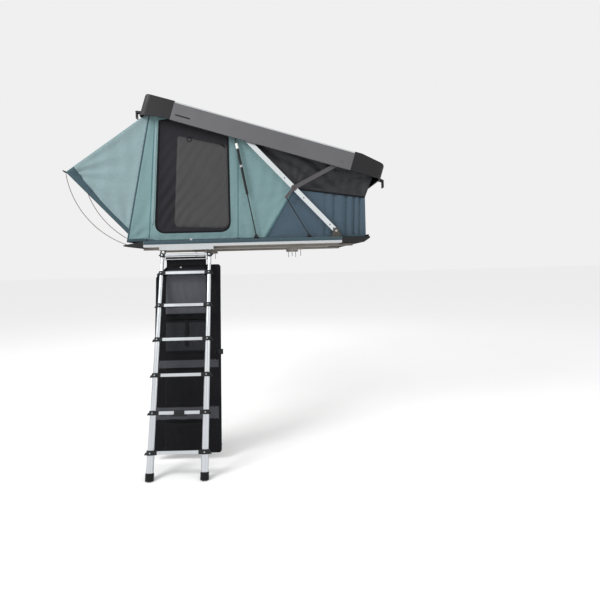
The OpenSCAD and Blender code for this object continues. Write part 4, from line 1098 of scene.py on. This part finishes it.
def liner_place(p):
    a, b = (p.x + p.y) / QUILT_PITCH, (p.x - p.y) / QUILT_PITCH
    quilt = abs(math.sin(math.pi * a) * math.sin(math.pi * b))
    puff = 0.009 * math.sqrt(quilt) * eased(p, [liner_cut], 0.04)
    return at_y(lid_at(p.x, LINER_H - puff), p.y)


headliner = stand_for(sew("headliner_quilt", fill(liner_cut, 0.0155), liner_place, liner), "lid",
                      "lid_headliner")
declare(liner_cut)
print("headliner points", len(headliner.data.vertices))

# %% [markdown]
# ## The ladder's organiser
# A long panel of coated cloth hangs behind the ladder from a sleeve round the lower top tube. It carries a
# net pocket, three plain pockets, bands of webbing and a buckle. It hangs nearer to upright than the ladder
# leans, so it has a frame of its own.

# %% The ladder's own frame: x across, back behind the ladder, t down from the hinge
hinge = Vector(joints["ladder_swing"]["pos_m"])
ladder_up = Vector(joints["ladder_slide_3"]["axis"])
ladder_back = Vector((0, ladder_up.z, -ladder_up.y))


def on_ladder(x, back, t):
    return hinge + Vector((x, 0, 0)) + back * ladder_back - t * ladder_up


ORGANISER_LEAN = math.radians(9)
cloth_up = Vector((0, math.sin(ORGANISER_LEAN), math.cos(ORGANISER_LEAN)))
cloth_back = Vector((0, cloth_up.z, -cloth_up.y))
cross_tube = on_ladder(0, 0, 0.034)


def hung(x, back, t):
    """A point of the organiser, t below the tube it hangs from."""
    return cross_tube + Vector((x, 0, 0)) + back * cloth_back - t * cloth_up


def bunch_up(*objs):
    for obj in objs:
        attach(obj, "ladder_1")
        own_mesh(obj)


# %% Back panel and sleeve
PANEL_BACK, POCKET_BACK = 0.0255, 0.0215
NECK_R, NECK_ROWS, NECK_HALF = 0.0142, 24, 0.172
panel_corners = [vec2(-0.256, 0.16), vec2(-0.156, 0.061), vec2(0.288, 0.061), vec2(0.288, 1.599),
                 vec2(-0.256, 1.599)]
panel_cut = rounded(panel_corners, [0.03, 0.03, 0.02, 0.02, 0.02])


def panel_place(p, out=0.0):
    soft = 0.003 * ripple(6 * p.x, 2.5 * p.y, 3.0) + 0.0025 * math.sin(9 * p.y + 4 * p.x)
    soft += 0.012 * waves(p, 76, 0.17, 2.0) * eased(p, [panel_cut], 0.06)
    return hung(p.x, PANEL_BACK + soft - out, p.y)


panel = stand_for(sew("organiser_back", fill(panel_cut, 0.022), panel_place, bag_canvas, 0.003), "ladder_1",
                  "organiser_panel")
neck_turns = steps(math.radians(-110), math.radians(100), 14)
neck_path = [NECK_R * vec2(math.sin(a), -math.cos(a)) for a in neck_turns]
neck_path += [vec2(0.018, 0.022), vec2(0.0225, 0.045), vec2(PANEL_BACK, 0.075)]
neck_verts = [hung(NECK_HALF * (2 * i / NECK_ROWS - 1), q.x + 0.001 * math.sin(3 * i), q.y)
              for i in range(NECK_ROWS + 1) for q in neck_path]
neck = sew("organiser_sleeve", (neck_verts, grid_faces(NECK_ROWS, len(neck_path) - 1)), as_is, bag_canvas)
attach(neck, "ladder_1")
length_of(neck_path)


# %% Pockets and webbing
def pocket(name, low, high, half, bulge, material):
    """Patch pocket between two heights: flat at its sides and foot, standing open at its top."""
    cut = box_loop(-half, half, low, high)

    def place(p, out=0.0):
        t = limit((p.y - low) / (high - low))
        belly = (1 - (p.x / half) ** 2) * (1 - t) ** 0.45 * (0.75 + 0.25 * math.cos(3 * math.pi * t))
        crumple = 0.0025 * ripple(16 * p.x, 16 * p.y, low)
        crumple -= 0.008 * waves(p, 82, 0.07, 20 * low) * eased(p, [cut], 0.05)
        return hung(p.x, POCKET_BACK - belly * bulge + crumple - out, p.y)

    def tape_across(kind, t, width, height):
        path = open_path(*level_line(-half, half, t), step=0.015)
        return strip(f"{name}_{kind}", path, width, height, place, tape)

    made = sew(name, fill(cut, 0.016), place, material, 0.0015)
    edges = [tape_across("hem", low, 0.018, 0.002), tape_across("foot", high, 0.012, 0.0015)]
    bunch_up(made, *edges)


def webbing(name, path, width, material, height=0.002, base=0.0):
    """Band sewn to the back panel, or standing off it by a base."""
    def place(p, out=0.0):
        return panel_place(p, out + base)

    made = strip("organiser_" + name, open_path(*path), width, height, place, material)
    bunch_up(made)
    return made


def level_line(x0, x1, t):
    return [vec2(x0, t), vec2(x1, t)]


bands = [webbing("edge", spaced(panel_cut, 0.03) + [panel_cut[0]], 0.016, tape, 0.003),
         webbing("band_top", level_line(-0.24, 0.27, 0.508), 0.045, bag_canvas, 0.003),
         webbing("band_upper", level_line(-0.24, 0.275, 0.896), 0.078, grey_webbing),
         webbing("band_lower", level_line(-0.24, 0.275, 1.293), 0.12, grey_webbing),
         webbing("strap", [vec2(0.008, 0.53), vec2(0.008, 0.745)], 0.028, tape, 0.003, 0.019),
         webbing("side_strap", level_line(0.23, 0.30, 0.80), 0.025, tape, 0.002, 0.001),
         webbing("zip", level_line(-0.165, 0.165, 0.078), 0.014, tape, 0.003, 0.004)]
pull = slab("organiser_zip_pull", round_box(-0.055, -0.039, 0.07, 0.10, 0.003),
            lambda p, d: hung(p.x, 0.016 - d, p.y), 0.002, pale_plastic, 0.0006)
buckle = slab("organiser_buckle", round_box(0.276, 0.314, 0.777, 0.823, 0.008),
              lambda p, d: hung(p.x, 0.024 - d, p.y), 0.008, plastic)
pocket("organiser_net_pocket", 0.09, 0.48, 0.175, 0.010, pocket_net)
pocket("organiser_pocket_2", 0.54, 0.79, 0.17, 0.010, pocket_canvas)
pocket("organiser_pocket_3", 0.955, 1.215, 0.17, 0.011, bag_canvas)
pocket("organiser_pocket_4", 1.375, 1.57, 0.17, 0.011, bag_canvas)
bunch_up(panel, pull, buckle)
declare(panel_cut, ())
print("organiser bands", len(bands))

# %% [markdown]
# ## Small fittings
# Grips, bolt heads, collar levers, the clip on a rung and the loops on the hem are what a hand meets. They
# are turned or cut from bevelled plate, and each rides on the piece it is fixed to.

# %% Ladder fittings
LADDER_SIDES = ((-1, "rear"), (1, "front"))
STILE_X, FIRST_RUNG, RUNG_PITCH = 0.204, 0.168, 0.283
BUTTON = [(0.001, 0.0), (0.0058, 0.0), (0.0058, 0.0016), (0.004, 0.003), (0.001, 0.003)]
HINGE_BOLT = [(0.001, 0.0), (0.009, 0.0), (0.009, 0.002), (0.0065, 0.0045), (0.001, 0.0055)]


def rung_t(k):
    return FIRST_RUNG + RUNG_PITCH * k


def ladder_plate(name, outline, back, depth, bevel=0.0015):
    """Plate on the ladder's outer side, from its back face outwards."""
    return slab(name, outline, lambda p, d: on_ladder(p.x, back - d, p.y), depth, plastic, bevel)


for k in range(1, 7):
    t, collar_r = rung_t(k - 1), 0.022 + 0.002 * k
    lever = [vec2(collar_r - 0.003, t - 0.004), vec2(collar_r + 0.006, t - 0.004),
             vec2(collar_r + 0.016, t + 0.016), vec2(collar_r - 0.003, t + 0.014)]
    for side, tag in LADDER_SIDES:
        wing = slab(f"collar_lever_{k + 1}_{tag}", rounded(lever, [0.002] * 4, 3),
                    lambda p, d: on_ladder(side * (STILE_X + p.x), d - 0.011, p.y), 0.022, plastic)
        button_at = on_ladder(side * STILE_X, -collar_r - 0.0048, t)
        button = lathe(f"collar_button_{k + 1}_{tag}", BUTTON, button_at, -ladder_back, pale_plastic, 20)
        ride_all(f"ladder_{k + 1}", wing, button)

clip_t = rung_t(4)
clip_box = round_box(-0.04, 0.04, clip_t - 0.02, clip_t + 0.018, 0.008)
clip_edge = level_line(-0.05, 0.05, clip_t + 0.012) + level_line(0.07, -0.07, clip_t + 0.028)
clip = ladder_plate("rung_clip", clip_box, -0.0203, 0.008)
clip_wing = ladder_plate("rung_clip_wing", rounded(clip_edge, [0.004] * 4, 3), -0.0205, 0.006)
ride_all("ladder_6", clip, clip_wing)
for side, tag in LADDER_SIDES:
    x = side * STILE_X
    hood_box = round_box(x - 0.0145, x + 0.0145, -0.014, 0.026, 0.008)
    hood = ladder_plate("hinge_cap_" + tag, hood_box, -0.0152, 0.006, 0.002)
    bolt = lathe("hinge_bolt_" + tag, HINGE_BOLT, on_ladder(x, -0.021, 0.006), -ladder_back, zinc, 20)
    ride_all("ladder_1", hood, bolt)

# %% Lid, strut and hem fittings
strut_foot, link_pin = pivot("strut_swing"), pivot("lid_tilt")
strut_axis = joints["strut_slide"]["axis"]
strut_dir = vec2(strut_axis[0], strut_axis[2]).normalized()
PIN_HEAD = [(0.001, 0.0), (0.011, 0.0), (0.011, 0.002), (0.007, 0.002), (0.006, 0.004), (0.001, 0.005)]
SCREW = [(0.001, 0.0), (0.005, 0.0), (0.0045, 0.0015), (0.001, 0.0022)]
SCREWS_AT = [(0.262, 0.03), (0.262, 0.125), (1.942, 0.03), (1.942, 0.12)]
# Rings on the strut's cylinder: distance from the strut's foot, length and material
# The ferrule is the strut's real end fitting; its white is a painted highlight.
STRUT_RINGS = {"strut_ferrule": (0.787, 0.048, highlight_white_plastic), "strut_clip": (0.655, 0.034, plastic),
               "strut_toggle": (0.618, 0.02, pale_plastic)}
STRUT_Y, RING_IN, RING_OUT = 0.6275, 0.0112, 0.0119
LID_BEVEL_H, HEM_LOOP_R = 0.152, 0.016
grip_box, highlight_box = round_box(0.314, 0.452, 0.045, 0.058, 0.006), box_loop(0.282, 1.921, 0.001, 0.0215)
for side, tag in SIDES:
    def on_lid(p, d):
        return at_y(lid_at(p.x, p.y), side * (LID_HALF - 0.0012 + d))

    def on_bevel(p, d):
        q = lid_at(p.x, LID_BEVEL_H + (p.y + d) / math.sqrt(2))
        return at_y(q, side * (LID_HALF - (p.y - d) / math.sqrt(2)))

    grip = slab("lid_grip_" + tag, grip_box, on_lid, 0.0022, plastic, 0.0008)
    # A thin pale metal strip on each rail's top bevel: a painted highlight where the rounded edge catches
    # the light.
    edge_highlight = slab("lid_trim_" + tag, highlight_box, on_bevel, 0.0012, rail_metal, 0.0004)
    head = lathe("lid_pin_head_" + tag, PIN_HEAD, at_y(link_pin, side * LID_HALF), (0, side, 0), lid_metal)
    screws = [lathe(f"lid_screw_{tag}_{n + 1}", SCREW, at_y(lid_at(*place), side * LID_HALF), (0, side, 0),
                    dark_steel, 16) for n, place in enumerate(SCREWS_AT)]
    ride_all("lid", grip, edge_highlight, head, *screws)
    for name, (foot, length, material) in STRUT_RINGS.items():
        at = at_y(strut_foot + foot * strut_dir, side * STRUT_Y)
        ring = sleeve(f"{name}_{tag}", RING_IN, RING_OUT, length, at, at_y(strut_dir, 0), material)
        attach(ring, "strut_cylinders")

    hem_fittings = [slab("hem_tab_" + tag, round_box(-0.508, -0.486, 0.078, 0.118, 0.004),
                         lambda p, d: at_y(p, side * (0.6145 + d)), 0.0016, liner, 0.0005)]
    for n, x in enumerate((-0.89, -0.079)):
        arc = [Vector((x, side * (0.6135 + HEM_LOOP_R * math.sin(a)), 0.102 + HEM_LOOP_R * math.cos(a)))
               for a in steps(0, math.pi, 14)]
        hem_fittings.append(tube(f"hem_loop_{tag}_{n + 1}", arc, 0.0028, tape, 8))
    ride_all("base", *hem_fittings)
    fold_down(*hem_fittings)

# %% [markdown]
# ## Stage, light and camera
# A pale floor under the ladder's feet and soft light from above give the product-photo look. The camera
# stands a little below the base, to the front of the middle, and is rolled as the photo is.

# %% Stage
GROUND, STAGE_HALF = -1.707, 60
matt_floor = coat("matt studio floor", "#fbfbfb", 0.9, grain=0.01, depth=0.0001, tone=0.01, gloss=0.0)
stage_loop = box_loop(-STAGE_HALF, STAGE_HALF, -STAGE_HALF, STAGE_HALF)
stage_corners = [(p.x, p.y, GROUND) for p in stage_loop]
studio_floor = link_mesh("studio_floor", stage_corners, [(0, 1, 2, 3)], matt_floor, False)
scene = bpy.context.scene
scene.view_settings.view_transform = "Standard"
world = bpy.data.worlds.new("studio")
world.use_nodes = True
world.node_tree.nodes["Background"].inputs["Color"].default_value = linear("#ffffff")
world.node_tree.nodes["Background"].inputs["Strength"].default_value = 0.87
scene.world = world


def soft_light(name, place, target, size, watts):
    data = bpy.data.lights.new(name, "AREA")
    data.energy, data.size = watts, size
    lamp = bpy.data.objects.new(name, data)
    lamp.location = place
    lamp.rotation_mode = "QUATERNION"
    lamp.rotation_quaternion = (Vector(target) - Vector(place)).to_track_quat("-Z", "Y")
    scene.collection.objects.link(lamp)


soft_light("key", (-4.2, -3.4, 3.6), (0, -0.5, 0.3), 2.2, 230)
soft_light("fill", (4.2, -3.6, 1.6), (0, 0, 0.2), 3.0, 25)
soft_light("back", (0.5, 4.5, 4.0), (0, 0, 0.3), 3.5, 60)

# %% Camera at the photo's angle
CAMERA_ROLL, CAMERA_AT = math.radians(1.44), (0.2, -4.53, -0.12)
right = Vector((math.cos(CAMERA_ROLL), 0, -math.sin(CAMERA_ROLL)))
upward = Vector((math.sin(CAMERA_ROLL), 0, math.cos(CAMERA_ROLL)))
view = bpy.data.cameras.new("photo camera")
view.lens, view.sensor_width, view.shift_x, view.shift_y = 26.4, 36.0, 0.05, -0.0617
camera = bpy.data.objects.new("photo_camera", view)
turned = Matrix((right, upward, right.cross(upward))).transposed()
camera.matrix_world = Matrix.Translation(CAMERA_AT) @ turned.to_4x4()
scene.collection.objects.link(camera)
scene.camera = camera
